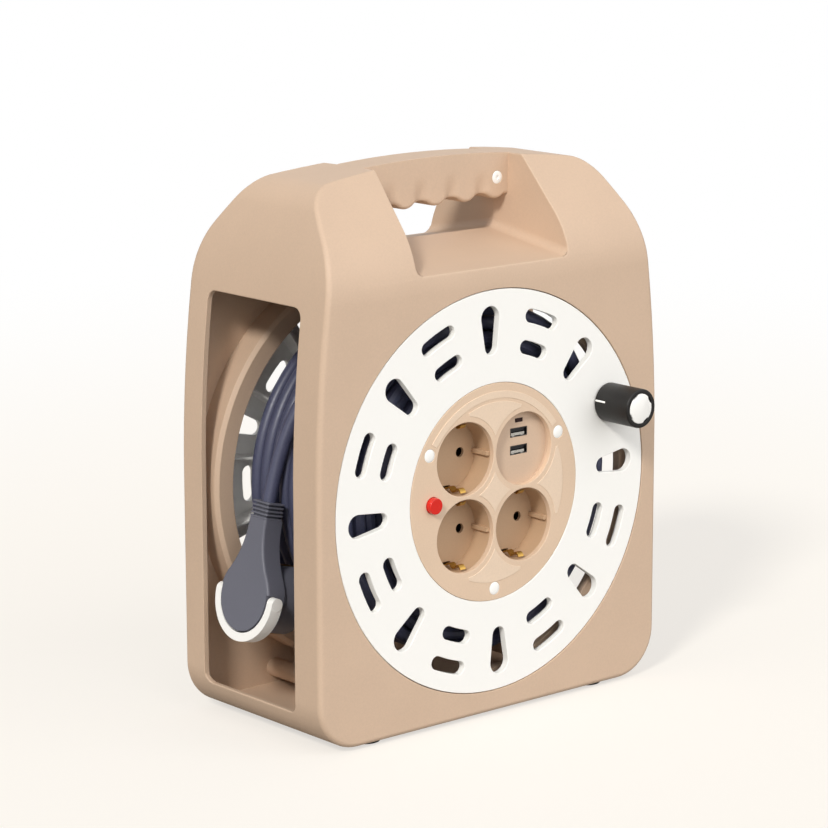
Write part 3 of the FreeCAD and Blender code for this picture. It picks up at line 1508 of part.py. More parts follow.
def edge_way(edge):
    """The direction in which a straight edge starts."""
    return edge.tangentAt(edge.FirstParameter)


def cable_core():
    """The inner layers of the cable as one plain ring on the drum."""
    profile = [
        ("drum_radius + slip_fit", "front_inner + cord_gap"),
        ("layer_inside - cord_gap", "front_inner + cord_gap"),
        ("layer_inside - cord_gap", "rear_inner - cord_gap"),
        ("drum_radius + slip_fit", "rear_inner - cord_gap"),
    ]
    from_axis(turned("cable_core", profile))


# Route of the cable from the outer layer's end to the plug: angle about the reel
# axis, distance outside the layer's route, place along Y from the mid plane
TAIL_ROUTE = [(84, 10.5, -37), (109, 10.5, -20), (134, 10.6, -3)]


def plug_place():
    """Where the plug lies: its face centre and its lean."""
    centre = Vector(-number("plug_out"), number("plug_side"), -number("plug_drop"))
    return Placement(centre, Rotation(Vector(0, 1, 0), number("plug_lean")))


def cable_tail(start, way):
    """The cable's last stretch over the wound layers to the plug."""
    layer = number("layer_radius")
    place = plug_place()
    relief_end = number("plug_neck_start + relief_length")
    end = place.multVec(Vector(number("plug_thick / 2"), 0, relief_end))
    upward = place.Rotation.multVec(Vector(0, 0, 1))
    lifted = number("layer_radius + tail_rise")
    first_reach = math.sqrt(lifted**2 - layer**2) - number("cable_diameter")
    route = [start, start + way * first_reach]
    for degrees, lift, y in TAIL_ROUTE:
        turn = math.radians(degrees)
        route.append(Vector((layer + lift) * math.cos(turn), y, (layer + lift) * math.sin(turn)))
    route += [end + upward * number("tail_last_run"), end]
    from_axis(feature("cable_tail", tube("cable_tail", route)))


# Plug


def plug_outline():
    """The plug seen on its face: a round head that narrows to the neck."""
    neck, radius, start = number("plug_neck"), number("plug_head"), number("plug_neck_start")
    high = start + number("relief_root")
    bend = (start**2 / (radius - neck) - (radius + neck)) / 2
    touch = math.degrees(math.atan2(start, neck + bend))
    edges = []
    for sign in (-1, 1):

        def place(y, z):
            return Vector(0, sign * y, z)

        edges.append(round_arc((0, 0), radius, -90, touch, place))
        edges.append(round_arc((neck + bend, start), bend, 180 + touch, 180, place))
        edges.append(line(place(neck, start), place(neck, high)))
    edges.append(line(Vector(0, -neck, high), Vector(0, neck, high)))
    return Part.Face(Part.Wire(Part.__sortEdges__(edges)))


ACROSS_PLUG = Vector(1, 0, 0)


def ring_room():
    """What the pull ring sweeps as it folds out, with its gap."""
    gap, back = number("ring_gap"), number("ring_set_back + ring_wide + ring_gap")
    wide, middle = 2 * number("ring_outer"), number("ring_middle")
    inside, ends = number("ring_inner - ring_sweep") - gap, number("ring_end") + gap
    start = Vector(-1, 0, 0)
    band = Part.makeCylinder(wide, back + 1, start, ACROSS_PLUG)
    band = band.cut(Part.makeCylinder(inside, back + 1, start, ACROSS_PLUG))
    lower = Part.makeBox(2 * back, 4 * wide, 2 * wide, Vector(-1, -2 * wide, -2 * wide))
    pivot = Part.makeCylinder(ends, 4 * wide, Vector(middle, -2 * wide, 0), Vector(0, 1, 0))
    ahead = Part.makeBox(middle + 1, 4 * wide, 2 * ends, Vector(-1, -2 * wide, -ends))
    between = Part.makeBox(4 * back, 2 * inside, 4 * wide, Vector(-2 * back, -inside, -2 * wide))
    rooms = [band.common(lower), pivot.fuse(ahead).cut(between)]
    stub_radius = number("ring_pin + slip_fit")
    stub = number("ring_inner - ring_pin_length") - gap
    for sign in (-1, 1):
        foot = Vector(middle, sign * stub, 0)
        rooms.append(Part.makeCylinder(stub_radius, wide, foot, Vector(0, sign, 0)))
    return rooms


def plug_body():
    """The flat plug body with the barrel that enters a socket, less the pull ring's room."""
    thick = number("plug_thick")
    body = plug_outline().extrude(Vector(thick, 0, 0))
    front = [edge for edge in body.Edges if edge.BoundBox.XMax < thick / 100]
    neck_end = number("plug_neck_start + relief_root / 2")
    front = [edge for edge in front if edge.BoundBox.ZMin < neck_end]
    solid = body.makeFillet(number("plug_edge"), front)
    start, end = thick / 2, thick + number("barrel_length")
    reach = (end - start, Vector(start, 0, 0), ACROSS_PLUG)
    solid = solid.fuse(Part.makeCylinder(number("barrel_radius"), *reach))
    for room in ring_room():
        solid = solid.cut(room)
    depth = number("plug_pin_root")
    for sign in (-1, 1):
        foot = Vector(end - depth, sign * number("half_pitch"), 0)
        solid = solid.cut(Part.makeCylinder(number("plug_pin_radius"), depth, foot, ACROSS_PLUG))
    made = feature("plug_body", solid.cut(plug_clip_shape()))
    made.Placement = seat_plug()


def seat_plug():
    """The plug's place in the frame."""
    place = plug_place()
    place.Base = place.Base + Vector(0, number("mid_offset"), number("axis_up"))
    return place


def plug_clip_shape():
    """The earth strips let into the barrel's top and underside."""
    thick, end = number("earth_thick"), number("plug_thick + barrel_length")
    wide, length = number("earth_width"), number("plug_clip_length")
    radius = number("barrel_radius")
    strips = []
    for low in (radius - thick, -radius):
        strips.append(Part.makeBox(length, wide, thick, Vector(end - length, -wide / 2, low)))
    return Part.makeCompound(strips)


def plug_metal():
    """The two round pins and the two earth strips."""
    radius, end = number("plug_pin_radius"), number("plug_thick + barrel_length")
    root, length = number("plug_pin_root"), number("plug_pin_length")
    pins = []
    for sign in (-1, 1):
        foot = Vector(end - root, sign * number("half_pitch"), 0)
        straight = root + length - radius
        pin = Part.makeCylinder(radius, straight, foot, Vector(1, 0, 0))
        tip = Part.makeSphere(radius, foot + Vector(straight, 0, 0))
        pins.append(pin.fuse(tip).removeSplitter())
    made = feature("plug_pins", Part.makeCompound(pins))
    made.Placement = seat_plug()
    made = feature("plug_earth_strips", plug_clip_shape())
    made.Placement = seat_plug()


def strain_relief():
    """The neck that guides the cable out of the plug, with slots across it."""
    half, thick = number("plug_neck"), number("plug_thick")
    start = number("plug_neck_start + relief_root")
    length = number("relief_length - relief_root")
    body = Part.makeBox(thick, 2 * half, length, Vector(0, -half, start))
    upright = [edge for edge in body.Edges if edge.BoundBox.ZLength > length / 2]
    body = body.makeFillet(number("plug_edge"), upright)
    count, deep = int(number("relief_slots")), number("relief_slot_deep")
    pitch = length / (count + 0.5)
    for k in range(count):
        foot = start + (k + 0.5) * pitch
        slot = Part.makeBox(2 * thick, 4 * half, pitch / 2, Vector(-thick / 2, -2 * half, foot))
        core = (thick - 2 * deep, 2 * (half - deep), pitch)
        stem = Part.makeBox(*core, Vector(deep, deep - half, foot - pitch / 4))
        body = body.cut(slot.cut(stem))
    made = feature("plug_strain_relief", body)
    made.Placement = seat_plug()


def pull_ring():
    """The half ring that folds out to pull the plug, with its pivot stubs."""
    outer_radius, inner_radius = number("ring_outer"), number("ring_inner")
    back, wide = number("ring_set_back"), number("ring_wide")
    along = Vector(1, 0, 0)
    place = Vector(back, 0, 0)
    band = Part.makeCylinder(outer_radius, wide, place, along)
    band = band.cut(Part.makeCylinder(inner_radius, wide, place, along))
    big = 2 * outer_radius
    band = band.common(Part.makeBox(big, 2 * big, big, Vector(back - 1, -big, -big)))
    middle = Vector(number("ring_middle"), 0, 0)
    radius, stub = number("ring_end"), number("ring_pin")
    for sign in (-1, 1):
        way = Vector(0, sign, 0)
        start = middle + Vector(0, sign * inner_radius, 0)
        band = band.fuse(Part.makeCylinder(radius, outer_radius - inner_radius, start, way))
        inside = start - Vector(0, sign * number("ring_pin_length"), 0)
        band = band.fuse(Part.makeCylinder(stub, number("ring_pin_length") + 1, inside, way))
    made = feature("pull_ring", band.removeSplitter())
    made.Placement = seat_plug()


socket_plate()
socket_wells()
plate_fasteners()
contact_parts()
usb_insert()
reset_button()
terminal_and_lead()
knob_parts()
cable_core()
layer_end, layer_way = cable_layer()
cable_tail(layer_end, layer_way)
plug_body()
plug_metal()
strain_relief()
pull_ring()

NODES = [
    "front_shell", "rear_shell", "housing_screws", "grip_screws", "grip_screw_caps",
    "rubber_feet", "front_flange", "rear_flange", "tie_tubes", "drum_sleeve", "drum_screws",
    "socket_plate", "socket_wells", "plate_screws", "plate_screw_caps", "contact_blocks",
    "pin_contacts", "earth_straps", "bus_bars", "usb_ports", "usb_tongues", "indicator_window",
    "usb_board", "usb_cover", "reset_button", "thermal_cutout", "terminal_block", "inner_lead",
    "knob_spindle", "knob_nut", "knob_grip", "knob_cap", "cable_core", "cable_outer_layer",
    "cable_tail", "plug_strain_relief", "plug_body", "plug_pins", "plug_earth_strips",
    "pull_ring",
]

doc.recompute()
for item in doc.Objects:
    if "Invalid" in item.State or "Error" in item.State:
        raise ValueError(f"{item.Label} did not build: {item.State}")
for node in NODES:
    shape = doc.getObject(node).Shape
    if shape.isNull() or not shape.isValid() or not shape.Solids:
        raise ValueError(f"{node} has no sound shape")
for node in NODES:
    doc.getObject(node).Shape.exportStep(f"parts/{node}.step")
print(len(NODES), "nodes written")
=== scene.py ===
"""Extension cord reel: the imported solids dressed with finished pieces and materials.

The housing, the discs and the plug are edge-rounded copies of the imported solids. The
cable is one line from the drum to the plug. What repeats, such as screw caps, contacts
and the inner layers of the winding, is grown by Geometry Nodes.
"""

from __future__ import annotations

import logging
import math
from dataclasses import dataclass
from enum import Enum
from typing import Callable, ClassVar, Iterable, Sequence

import bmesh
import bpy
from mathutils import Matrix, Vector

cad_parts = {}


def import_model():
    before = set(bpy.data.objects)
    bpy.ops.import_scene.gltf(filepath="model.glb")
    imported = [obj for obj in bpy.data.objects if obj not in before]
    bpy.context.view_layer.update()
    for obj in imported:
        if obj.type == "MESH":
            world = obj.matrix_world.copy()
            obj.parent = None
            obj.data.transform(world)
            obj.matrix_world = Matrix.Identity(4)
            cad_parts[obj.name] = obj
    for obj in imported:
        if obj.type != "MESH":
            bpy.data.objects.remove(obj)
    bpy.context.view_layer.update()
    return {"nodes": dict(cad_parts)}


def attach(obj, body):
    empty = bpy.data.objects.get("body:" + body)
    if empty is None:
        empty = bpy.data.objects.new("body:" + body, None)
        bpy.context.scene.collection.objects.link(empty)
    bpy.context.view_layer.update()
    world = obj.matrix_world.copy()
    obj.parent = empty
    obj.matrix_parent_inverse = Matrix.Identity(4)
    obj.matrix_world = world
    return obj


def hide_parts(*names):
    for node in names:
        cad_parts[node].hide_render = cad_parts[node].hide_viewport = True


Piece = bpy.types.Object
Mesh = bpy.types.Mesh
Faces = bmesh.types.BMesh
Tree = bpy.types.NodeTree
Node = bpy.types.Node
Socket = bpy.types.NodeSocket
Pair = tuple[float, float]
Triple = tuple[float, float, float]

LOG = logging.getLogger("cord_reel")
MM = 0.001
# The plane where the shells meet and the height of the reel's axis, in millimetres
MID = 12.6
AXIS = 123.3


class Body(Enum):
    """The bodies that move against each other."""

    HOUSING = "housing"
    REEL = "reel"
    KNOB = "knob"
    BUTTON = "button"
    RING = "ring"


class Lay(Enum):
    """How a surface's grain runs, as the scale of its pattern along X, Y and Z."""

    EVEN = (1.0, 1.0, 1.0)
    ROLLED = (1.0, 0.05, 1.0)
    EXTRUDED = (1.0, 1.0, 0.25)


def linear(code: str) -> tuple[float, float, float, float]:
    """Turns an sRGB hex colour to linear light.

    Args:
        code: six hex digits.

    Returns:
        Red, green, blue and alpha.
    """
    parts = [int(code[i : i + 2], 16) / 255 for i in (0, 2, 4)]
    light = [c / 12.92 if c <= 0.04045 else ((c + 0.055) / 1.055) ** 2.4 for c in parts]
    return light[0], light[1], light[2], 1.0


def add_node(tree: Tree, kind: str, inputs: dict | None = None, **settings: object) -> Node:
    """Adds a node with its settings, values and links.

    Args:
        tree: the tree that gets the node.
        kind: the node's type name.
        inputs: values, source sockets or source nodes by input name or number.
        settings: attributes of the node.

    Returns:
        The new node.
    """
    node = tree.nodes.new(kind)
    for name, value in settings.items():
        setattr(node, name, value)
    for name, value in (inputs or {}).items():
        if isinstance(value, Node):
            value = value.outputs[0]
        if isinstance(value, Socket):
            tree.links.new(value, node.inputs[name])
        else:
            node.inputs[name].default_value = value
    return node


def empty_tree(owner: bpy.types.Material | bpy.types.World) -> Tree:
    """Turns on the nodes of a material or the sky and takes out the ones it starts with.

    Args:
        owner: the material or the sky.

    Returns:
        Its empty tree.
    """
    owner.use_nodes = True
    owner.node_tree.nodes.clear()
    return owner.node_tree


@dataclass(frozen=True)
class Finish:
    """A material: its colour, gloss and the pattern of its making; some paint in light or shade.
    """

    name: str
    colour: str
    roughness: float
    ior: float = 1.5
    metallic: float = 0.0
    lay: Lay = Lay.EVEN
    grain_mm: float = 0.9
    relief_mm: float = 0.02
    mottle: float = 0.03
    mottle_mm: float = 45.0
    gloss_spread: float = 0.05
    transmission: float = 0.0
    sheen: float = 0.0

    def material(self) -> bpy.types.Material:
        """Builds the material, once.

        Returns:
            The material.
        """
        made = bpy.data.materials.get(self.name)
        if made:
            return made
        made = bpy.data.materials.new(self.name)
        tree = empty_tree(made)
        place = add_node(tree, "ShaderNodeTexCoord").outputs["Object"]
        normal, gloss = self._surface(tree, place)
        values = {
            "Base Color": self._mottled(tree, place),
            "Normal": normal,
            "Roughness": gloss,
            "Metallic": self.metallic,
            "Transmission Weight": self.transmission,
            "Sheen Weight": self.sheen,
        }
        if not self.metallic:
            values["IOR"] = self.ior
        shader = add_node(tree, "ShaderNodeBsdfPrincipled", values)
        add_node(tree, "ShaderNodeOutputMaterial", {"Surface": shader})
        made.diffuse_color = linear(self.colour)
        return made

    def _mottled(self, tree: Tree, place: Socket) -> Node:
        """Colour with the slow drift that pigment and flow leave in a moulding.

        Args:
            tree: the material's tree.
            place: its Object coordinates.

        Returns:
            The node that gives the colour.
        """
        parts = {}
        for k, (size, detail) in enumerate(((self.mottle_mm, 4.0), (self.grain_mm, 2.0))):
            values = {"Vector": place, "Scale": 1 / (size * MM), "Detail": detail}
            parts[k] = add_node(tree, "ShaderNodeTexNoise", values)
        both = add_node(tree, "ShaderNodeMath", parts, operation="ADD")
        drift = add_node(tree, "ShaderNodeMath", {0: both, 1: 0.5}, operation="MULTIPLY")
        ramp = add_node(tree, "ShaderNodeValToRGB", {0: drift})
        base = linear(self.colour)[:3]
        ends = ((0.38, 1 - self.mottle), (0.62, 1 + self.mottle))
        for stop, (position, share) in zip(ramp.color_ramp.elements, ends):
            stop.position = position
            stop.color = (*(min(c * share, 1) for c in base), 1)
        return ramp

    def _surface(self, tree: Tree, place: Socket) -> tuple[Node, Node]:
        """Bump and roughness of the surface, by how it was made.

        Args:
            tree: the material's tree.
            place: its Object coordinates.

        Returns:
            The nodes that give the normal and the roughness.
        """
        turned = add_node(tree, "ShaderNodeMapping", {"Vector": place, "Scale": self.lay.value})
        values = {"Vector": turned, "Scale": 1 / (self.grain_mm * MM), "Detail": 3.0}
        grain = add_node(tree, "ShaderNodeTexNoise", values | {"Roughness": 0.6})
        values = {"Height": grain, "Strength": 1.0, "Distance": self.relief_mm * MM}
        bump = add_node(tree, "ShaderNodeBump", values)
        low, high = self.roughness - self.gloss_spread, self.roughness + self.gloss_spread
        values = {"Value": grain, "From Min": 0.3, "From Max": 0.7, "To Min": low, "To Max": high}
        return bump, add_node(tree, "ShaderNodeMapRange", values)


@dataclass(frozen=True)
class Metal(Finish):
    """A rolled metal strip or sheet, with faint lines along it."""

    metallic: float = 1.0
    lay: Lay = Lay.ROLLED
    relief_mm: float = 0.004


# Spark eroded ABS: an even, dry satin with a fine grain, here as coarse as it needs to show
HOUSING_ABS = Finish("abs_sand_spark_eroded", "cfb49c", 0.55, grain_mm=1.1, relief_mm=0.03)
# The same ABS from a smoother tool: paler and a little glossier
PLATE_ABS = Finish("abs_pale_sand_satin", "e0c5ab", 0.45, relief_mm=0.012)
# Its raised fields, polished, in a lighter colour that paints in their sheen
FIELD_ABS_PAINTED_SHEEN = Finish("abs_pale_sand_painted_sheen", "e8d0b8", 0.4, relief_mm=0.008)
# The cups behind it: sand ABS darkened and saturated as painted shade in their depth
CUP_ABS_PAINTED_SHADE = Finish("abs_sand_painted_shade_satin", "c0a182", 0.5, relief_mm=0.012)
# ABS from a polished tool: clean white with soft wide highlights
WHITE_ABS = Finish(
    "abs_white_polished", "fcfbf8", 0.34, grain_mm=2.5, relief_mm=0.002, mottle=0.004
)
# Insulating nylon: dull grey
GREY_NYLON = Finish("nylon_grey_moulded", "8f8d88", 0.55)
# Black ABS of the knob: dark with a broad satin shine
BLACK_ABS = Finish(
    "abs_black_satin", "0f0c0b", 0.45, ior=1.46, grain_mm=0.8, relief_mm=0.015, mottle=0.1
)
# Red acetal button: glossy and saturated
RED_ACETAL = Finish("acetal_red_glossy", "d8241a", 0.22, relief_mm=0.004, mottle=0.02)
# Slate PVC sheath: waxy, with faint lines from the extruder
SHEATH_PVC = Finish(
    "pvc_slate_extruded",
    "4c4f68",
    0.42,
    lay=Lay.EXTRUDED,
    grain_mm=1.3,
    relief_mm=0.03,
    mottle=0.08,
)
# Soft PVC moulded over the plug: a dry satin
PLUG_PVC = Finish("pvc_slate_moulded", "656672", 0.5, grain_mm=1.0, mottle=0.04)
# Zinc plated steel: grey, half bright
ZINC_STEEL = Metal("steel_zinc_plated", "b9bbbe", 0.34)
# Nickel plated steel shells of the ports: dull, darkened as painted shade in the openings
PORT_SHELL_PAINTED_SHADE = Metal("steel_nickel_painted_shade", "5c5b5b", 0.35)
# Tinned steel springs of the ports, made near white as painted light on the ports' floor
PORT_STEEL_PAINTED_LIGHT = Metal("steel_tinned_painted_light", "f2efe9", 0.3)
# Nickel plated brass pins: warm and mirror-like
PIN_NICKEL = Metal("brass_nickel_plated", "d6d2c8", 0.18, lay=Lay.EVEN, relief_mm=0.002)
# Bare brass strip: yellow
BRASS = Metal("brass_strip_rolled", "bd964e", 0.32)
# Bronze tubes of the pin contacts, darkened as painted shade for the deep pin holes
PIN_BRONZE_PAINTED_SHADE = Metal("bronze_painted_shade", "3a2e26", 0.45, lay=Lay.EVEN)
# Black styrene of the port tongues
TONGUE_BLACK = Finish("styrene_black", "17161a", 0.4, relief_mm=0.004)
# Smoked acrylic light guide: nearly black, with a deep red tint
LIGHT_GUIDE = Finish("acrylic_smoked", "2a0d0a", 0.2, ior=1.49, transmission=0.1, relief_mm=0.002)
# Green solder mask on glass epoxy: smooth and half glossy
SOLDER_MASK = Finish("glass_epoxy_green", "1c5a33", 0.38, relief_mm=0.01)
# Natural rubber feet: black and dry
FOOT_RUBBER = Finish("rubber_black", "1f1e1d", 0.7, grain_mm=0.7, relief_mm=0.04, sheen=0.1)


def point(x: float, y: float, z: float) -> Vector:
    """A point given in millimetres from the reel's axis and the mid plane."""
    return Vector((x, y + MID, z + AXIS)) * MM


def new_object(name: str, data: bpy.types.ID) -> Piece:
    """Links an object for the data.

    Args:
        name: the object's name.
        data: its mesh, curve, lamp or camera.

    Returns:
        The object.
    """
    made = bpy.data.objects.new(name, data)
    bpy.context.scene.collection.objects.link(made)
    return made


def shaded(mesh: Mesh, degrees: float = 32.0) -> Mesh:
    """Shades a mesh smooth, with edges above an angle kept sharp.

    Args:
        mesh: the mesh.
        degrees: the angle.

    Returns:
        The same mesh.
    """
    mesh.shade_smooth()
    mesh.set_sharp_from_angle(angle=math.radians(degrees))
    return mesh


def settle(piece: Piece, body: Body, slot: str, nodes: Iterable[str] = ()) -> Piece:
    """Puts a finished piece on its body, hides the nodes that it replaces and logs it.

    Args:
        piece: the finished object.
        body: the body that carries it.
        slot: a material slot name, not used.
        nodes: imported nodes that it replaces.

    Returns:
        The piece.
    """
    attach(piece, body.value)
    if nodes:
        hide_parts(*nodes)
    LOG.info("%s on %s", piece.name, body.value)
    return piece


def baked(work: Faces, name: str, finish: Finish | None = None) -> Mesh:
    """Turns edited faces into a mesh.

    Args:
        work: the faces, freed afterwards.
        name: the mesh's name.
        finish: its material, if it has one yet.

    Returns:
        The new mesh.
    """
    mesh = bpy.data.meshes.new(name)
    work.to_mesh(mesh)
    work.free()
    if finish:
        mesh.materials.append(finish.material())
    return mesh


def plain_mesh(piece: Piece) -> Mesh:
    """Makes a plain mesh of what an object's modifiers show, and removes them.

    Args:
        piece: the object.

    Returns:
        A plain mesh.
    """
    graph = bpy.context.evaluated_depsgraph_get()
    mesh = bpy.data.meshes.new_from_object(
        piece.evaluated_get(graph), preserve_all_data_layers=True, depsgraph=graph
    )
    piece.modifiers.clear()
    return mesh


def bevel(work: Faces, edges: Sequence[bmesh.types.BMEdge], width_mm: float, steps: int) -> None:
    """Rounds edges.

    Args:
        work: the faces that they belong to.
        edges: the edges.
        width_mm: the width of the rounding.
        steps: its number of steps.
    """
    if edges:
        wide = width_mm * MM
        bmesh.ops.bevel(work, geom=edges, offset=wide, segments=steps, profile=0.5, affect="EDGES")


def slab(outline: Sequence[Vector], rise_mm: float, edge_mm: float, steps: int) -> Faces:
    """Raises an outline toward -Y to a flat slab with a soft upper edge.

    Args:
        outline: the points of its lower face.
        rise_mm: its thickness.
        edge_mm: the width of the rounding.
        steps: its number of steps.

    Returns:
        The slab's faces.
    """
    work = bmesh.new()
    base = work.faces.new([work.verts.new(spot) for spot in outline])
    grown = bmesh.ops.extrude_face_region(work, geom=[base])
    tops = {item for item in grown["geom"] if isinstance(item, bmesh.types.BMVert)}
    for vert in tops:
        vert.co.y -= rise_mm * MM
    bmesh.ops.recalc_face_normals(work, faces=work.faces)
    upper = [edge for edge in work.edges if tops.issuperset(edge.verts)]
    bevel(work, upper, edge_mm, steps)
    return work


@dataclass(frozen=True)
class EdgeRule:
    """Which convex edges are rounded, and how far."""

    width_mm: float
    chosen: Callable[[Vector], bool] = lambda place: True
    least_turn: float = 35.0
    steps: int = 3


@dataclass
class SolidCopy:
    """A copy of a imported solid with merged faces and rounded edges."""

    nodes: dict[str, Piece]
    merge_mm: float = 0.004
    flat_turn: float = 0.6

    def dress(self, finish: Finish, *names: str) -> None:
        """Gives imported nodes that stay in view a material.

        Args:
            finish: the material.
            names: the nodes.
        """
        for name in names:
            node = self.nodes[name]
            if not node.material_slots:
                node.data.materials.append(finish.material())
            for slot in node.material_slots:
                slot.material = finish.material()

    def make(
        self,
        node: str,
        name: str,
        finish: Finish,
        body: Body,
        slot: str,
        rules: Sequence[EdgeRule] = (),
        quartered: bool = False,
        carve: Callable[[Faces], None] | None = None,
    ) -> Piece:
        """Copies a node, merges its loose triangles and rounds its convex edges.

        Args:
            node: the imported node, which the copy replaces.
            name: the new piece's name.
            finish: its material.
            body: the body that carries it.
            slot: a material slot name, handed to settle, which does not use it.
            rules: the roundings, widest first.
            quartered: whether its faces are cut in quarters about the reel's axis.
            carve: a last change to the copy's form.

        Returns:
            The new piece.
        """
        work = bmesh.new()
        work.from_mesh(self.nodes[node].data)
        bmesh.ops.remove_doubles(work, verts=work.verts, dist=self.merge_mm * MM)
        flat = math.radians(self.flat_turn)
        bmesh.ops.dissolve_limit(work, angle_limit=flat, verts=work.verts, edges=work.edges)
        if quartered:
            self._quarter(work)
        for rule in rules:
            self._round(work, rule)
        if carve:
            carve(work)
        piece = new_object(name, shaded(baked(work, name, finish)))
        modifier = piece.modifiers.new("even", "WEIGHTED_NORMAL")
        modifier.keep_sharp = True
        old, piece.data = piece.data, plain_mesh(piece)
        bpy.data.meshes.remove(old)
        return settle(piece, body, slot, (node,))

    @staticmethod
    def _quarter(work: Faces) -> None:
        """Cuts wide faces with many holes in quarters, so that each closes well.

        Args:
            work: the faces of the copy.
        """
        for across in (Vector((1, 0, 0)), Vector((0, 0, 1))):
            bmesh.ops.bisect_plane(
                work,
                geom=work.verts[:] + work.edges[:] + work.faces[:],
                plane_co=point(0, 0, 0),
                plane_no=across,
                dist=1e-7,
            )

    @staticmethod
    def _round(work: Faces, rule: EdgeRule) -> None:
        """Bevels the convex edges that a rule chooses.

        Args:
            work: the faces of the copy.
            rule: which edges, and how far.
        """
        work.normal_update()
        least = math.radians(rule.least_turn)
        edges = []
        for edge in work.edges:
            if len(edge.link_faces) == 2 and edge.calc_face_angle_signed(0) >= least:
                middle = (edge.verts[0].co + edge.verts[1].co) / 2
                if rule.chosen(middle / MM):
                    edges.append(edge)
        bevel(work, edges, rule.width_mm, rule.steps)


class Recipe:
    """A Geometry Nodes tree with named inputs."""

    def __init__(self, name: str, inputs: dict[str, str]) -> None:
        """Starts a tree.

        Args:
            name: the tree's name.
            inputs: socket type by input name, to which the finish is added.
        """
        self.tree = bpy.data.node_groups.new(name, "GeometryNodeTree")
        face = self.tree.interface
        face.new_socket(name="Geometry", in_out="INPUT", socket_type="NodeSocketGeometry")
        for label, kind in inputs.items():
            face.new_socket(name=label, in_out="INPUT", socket_type=kind)
        face.new_socket(name="Finish", in_out="INPUT", socket_type="NodeSocketMaterial")
        face.new_socket(name="Geometry", in_out="OUTPUT", socket_type="NodeSocketGeometry")
        self.given = add_node(self.tree, "NodeGroupInput").outputs

    def close(self, geometry: Node) -> None:
        """Ends the tree in Realize Instances and Set Material.

        Args:
            geometry: the node that gives the tree's result.
        """
        real = add_node(self.tree, "GeometryNodeRealizeInstances", {"Geometry": geometry})
        smooth = add_node(self.tree, "GeometryNodeSetShadeSmooth", {0: real})
        values = {"Geometry": smooth, "Material": self.given["Finish"]}
        coat = add_node(self.tree, "GeometryNodeSetMaterial", values)
        add_node(self.tree, "NodeGroupOutput", {0: coat})

    def grow(self, name: str, start: Mesh, values: dict[str, object]) -> Piece:
        """Runs the tree on a mesh and returns the plain result.

        Args:
            name: the piece's name.
            start: the mesh that the tree starts from.
            values: the inputs' values by name.

        Returns:
            An object with a plain mesh at the origin.
        """
        piece = new_object(name, start)
        modifier = piece.modifiers.new("grow", "NODES")
        modifier.node_group = self.tree
        for item in self.tree.interface.items_tree:
            if item.in_out == "INPUT" and item.name in values:
                modifier[item.identifier] = values[item.name]
        piece.update_tag()
        piece.data = shaded(plain_mesh(piece))
        bpy.data.meshes.remove(start)
        piece.data.name = name
        return piece


@dataclass(frozen=True)
class Spot:
    """A place for a repeated piece, with its turn in degrees."""

    place: Vector
    turn: Triple = (0.0, 0.0, 0.0)


class Copies(Recipe):
    """Sets copies of one piece on points."""

    def __init__(self) -> None:
        """Builds the tree."""
        super().__init__("copies_on_points", {"Piece": "NodeSocketObject"})
        tree, given = self.tree, self.given
        piece = add_node(tree, "GeometryNodeObjectInfo", {"Object": given["Piece"]})
        turn = add_node(
            tree, "GeometryNodeInputNamedAttribute", {"Name": "turn"}, data_type="FLOAT_VECTOR"
        )
        spin = add_node(tree, "FunctionNodeEulerToRotation", {0: turn.outputs["Attribute"]})
        values = {
            "Points": given["Geometry"],
            "Instance": piece.outputs["Geometry"],
            "Rotation": spin,
        }
        self.close(add_node(tree, "GeometryNodeInstanceOnPoints", values))

    def place(self, name: str, pattern: Mesh, spots: Sequence[Spot], finish: Finish) -> Piece:
        """Sets a pattern on spots.

        Args:
            name: the piece's name.
            pattern: the mesh to repeat, removed afterwards.
            spots: places and turns.
            finish: the material.

        Returns:
            The joined copies.
        """
        points = bpy.data.meshes.new(name + "_points")
        points.from_pydata([spot.place for spot in spots], [], [])
        turns = points.attributes.new("turn", "FLOAT_VECTOR", "POINT")
        for row, spot in zip(turns.data, spots):
            row.vector = [math.radians(angle) for angle in spot.turn]
        source = new_object(name + "_pattern", pattern)
        made = self.grow(name, points, {"Piece": source, "Finish": finish.material()})
        bpy.data.objects.remove(source)
        bpy.data.meshes.remove(pattern)
        return made


def skin(work: Faces, rings: Sequence[Sequence[bmesh.types.BMVert]]) -> None:
    """Joins each ring of points to the next.

    Args:
        work: the faces that the new ones are added to.
        rings: the rings, each with as many points as the others or with one.
    """
    for first, second in zip(rings, rings[1:]):
        for k in range(max(len(first), len(second))):
            corners = [first[k % len(first)], first[(k + 1) % len(first)]]
            corners += [second[(k + 1) % len(second)], second[k % len(second)]]
            corners = list(dict.fromkeys(corners))
            if len(corners) > 2:
                work.faces.new(corners)


def lathe(profile: Sequence[Pair], steps: int = 48) -> Mesh:
    """Turns a profile of (radius, y) in millimetres about Y.

    Args:
        profile: points from one end of the piece to the other.
        steps: number of steps round.

    Returns:
        A closed mesh about the origin.
    """
    work = bmesh.new()
    rings = []
    for radius, y in profile:
        ring = []
        for k in range(steps if radius else 1):
            turn, far = math.tau * k / steps, radius * MM
            ring.append(work.verts.new((far * math.cos(turn), y * MM, far * math.sin(turn))))
        rings.append(ring)
    skin(work, rings)
    bmesh.ops.recalc_face_normals(work, faces=work.faces)
    return baked(work, "lathe")


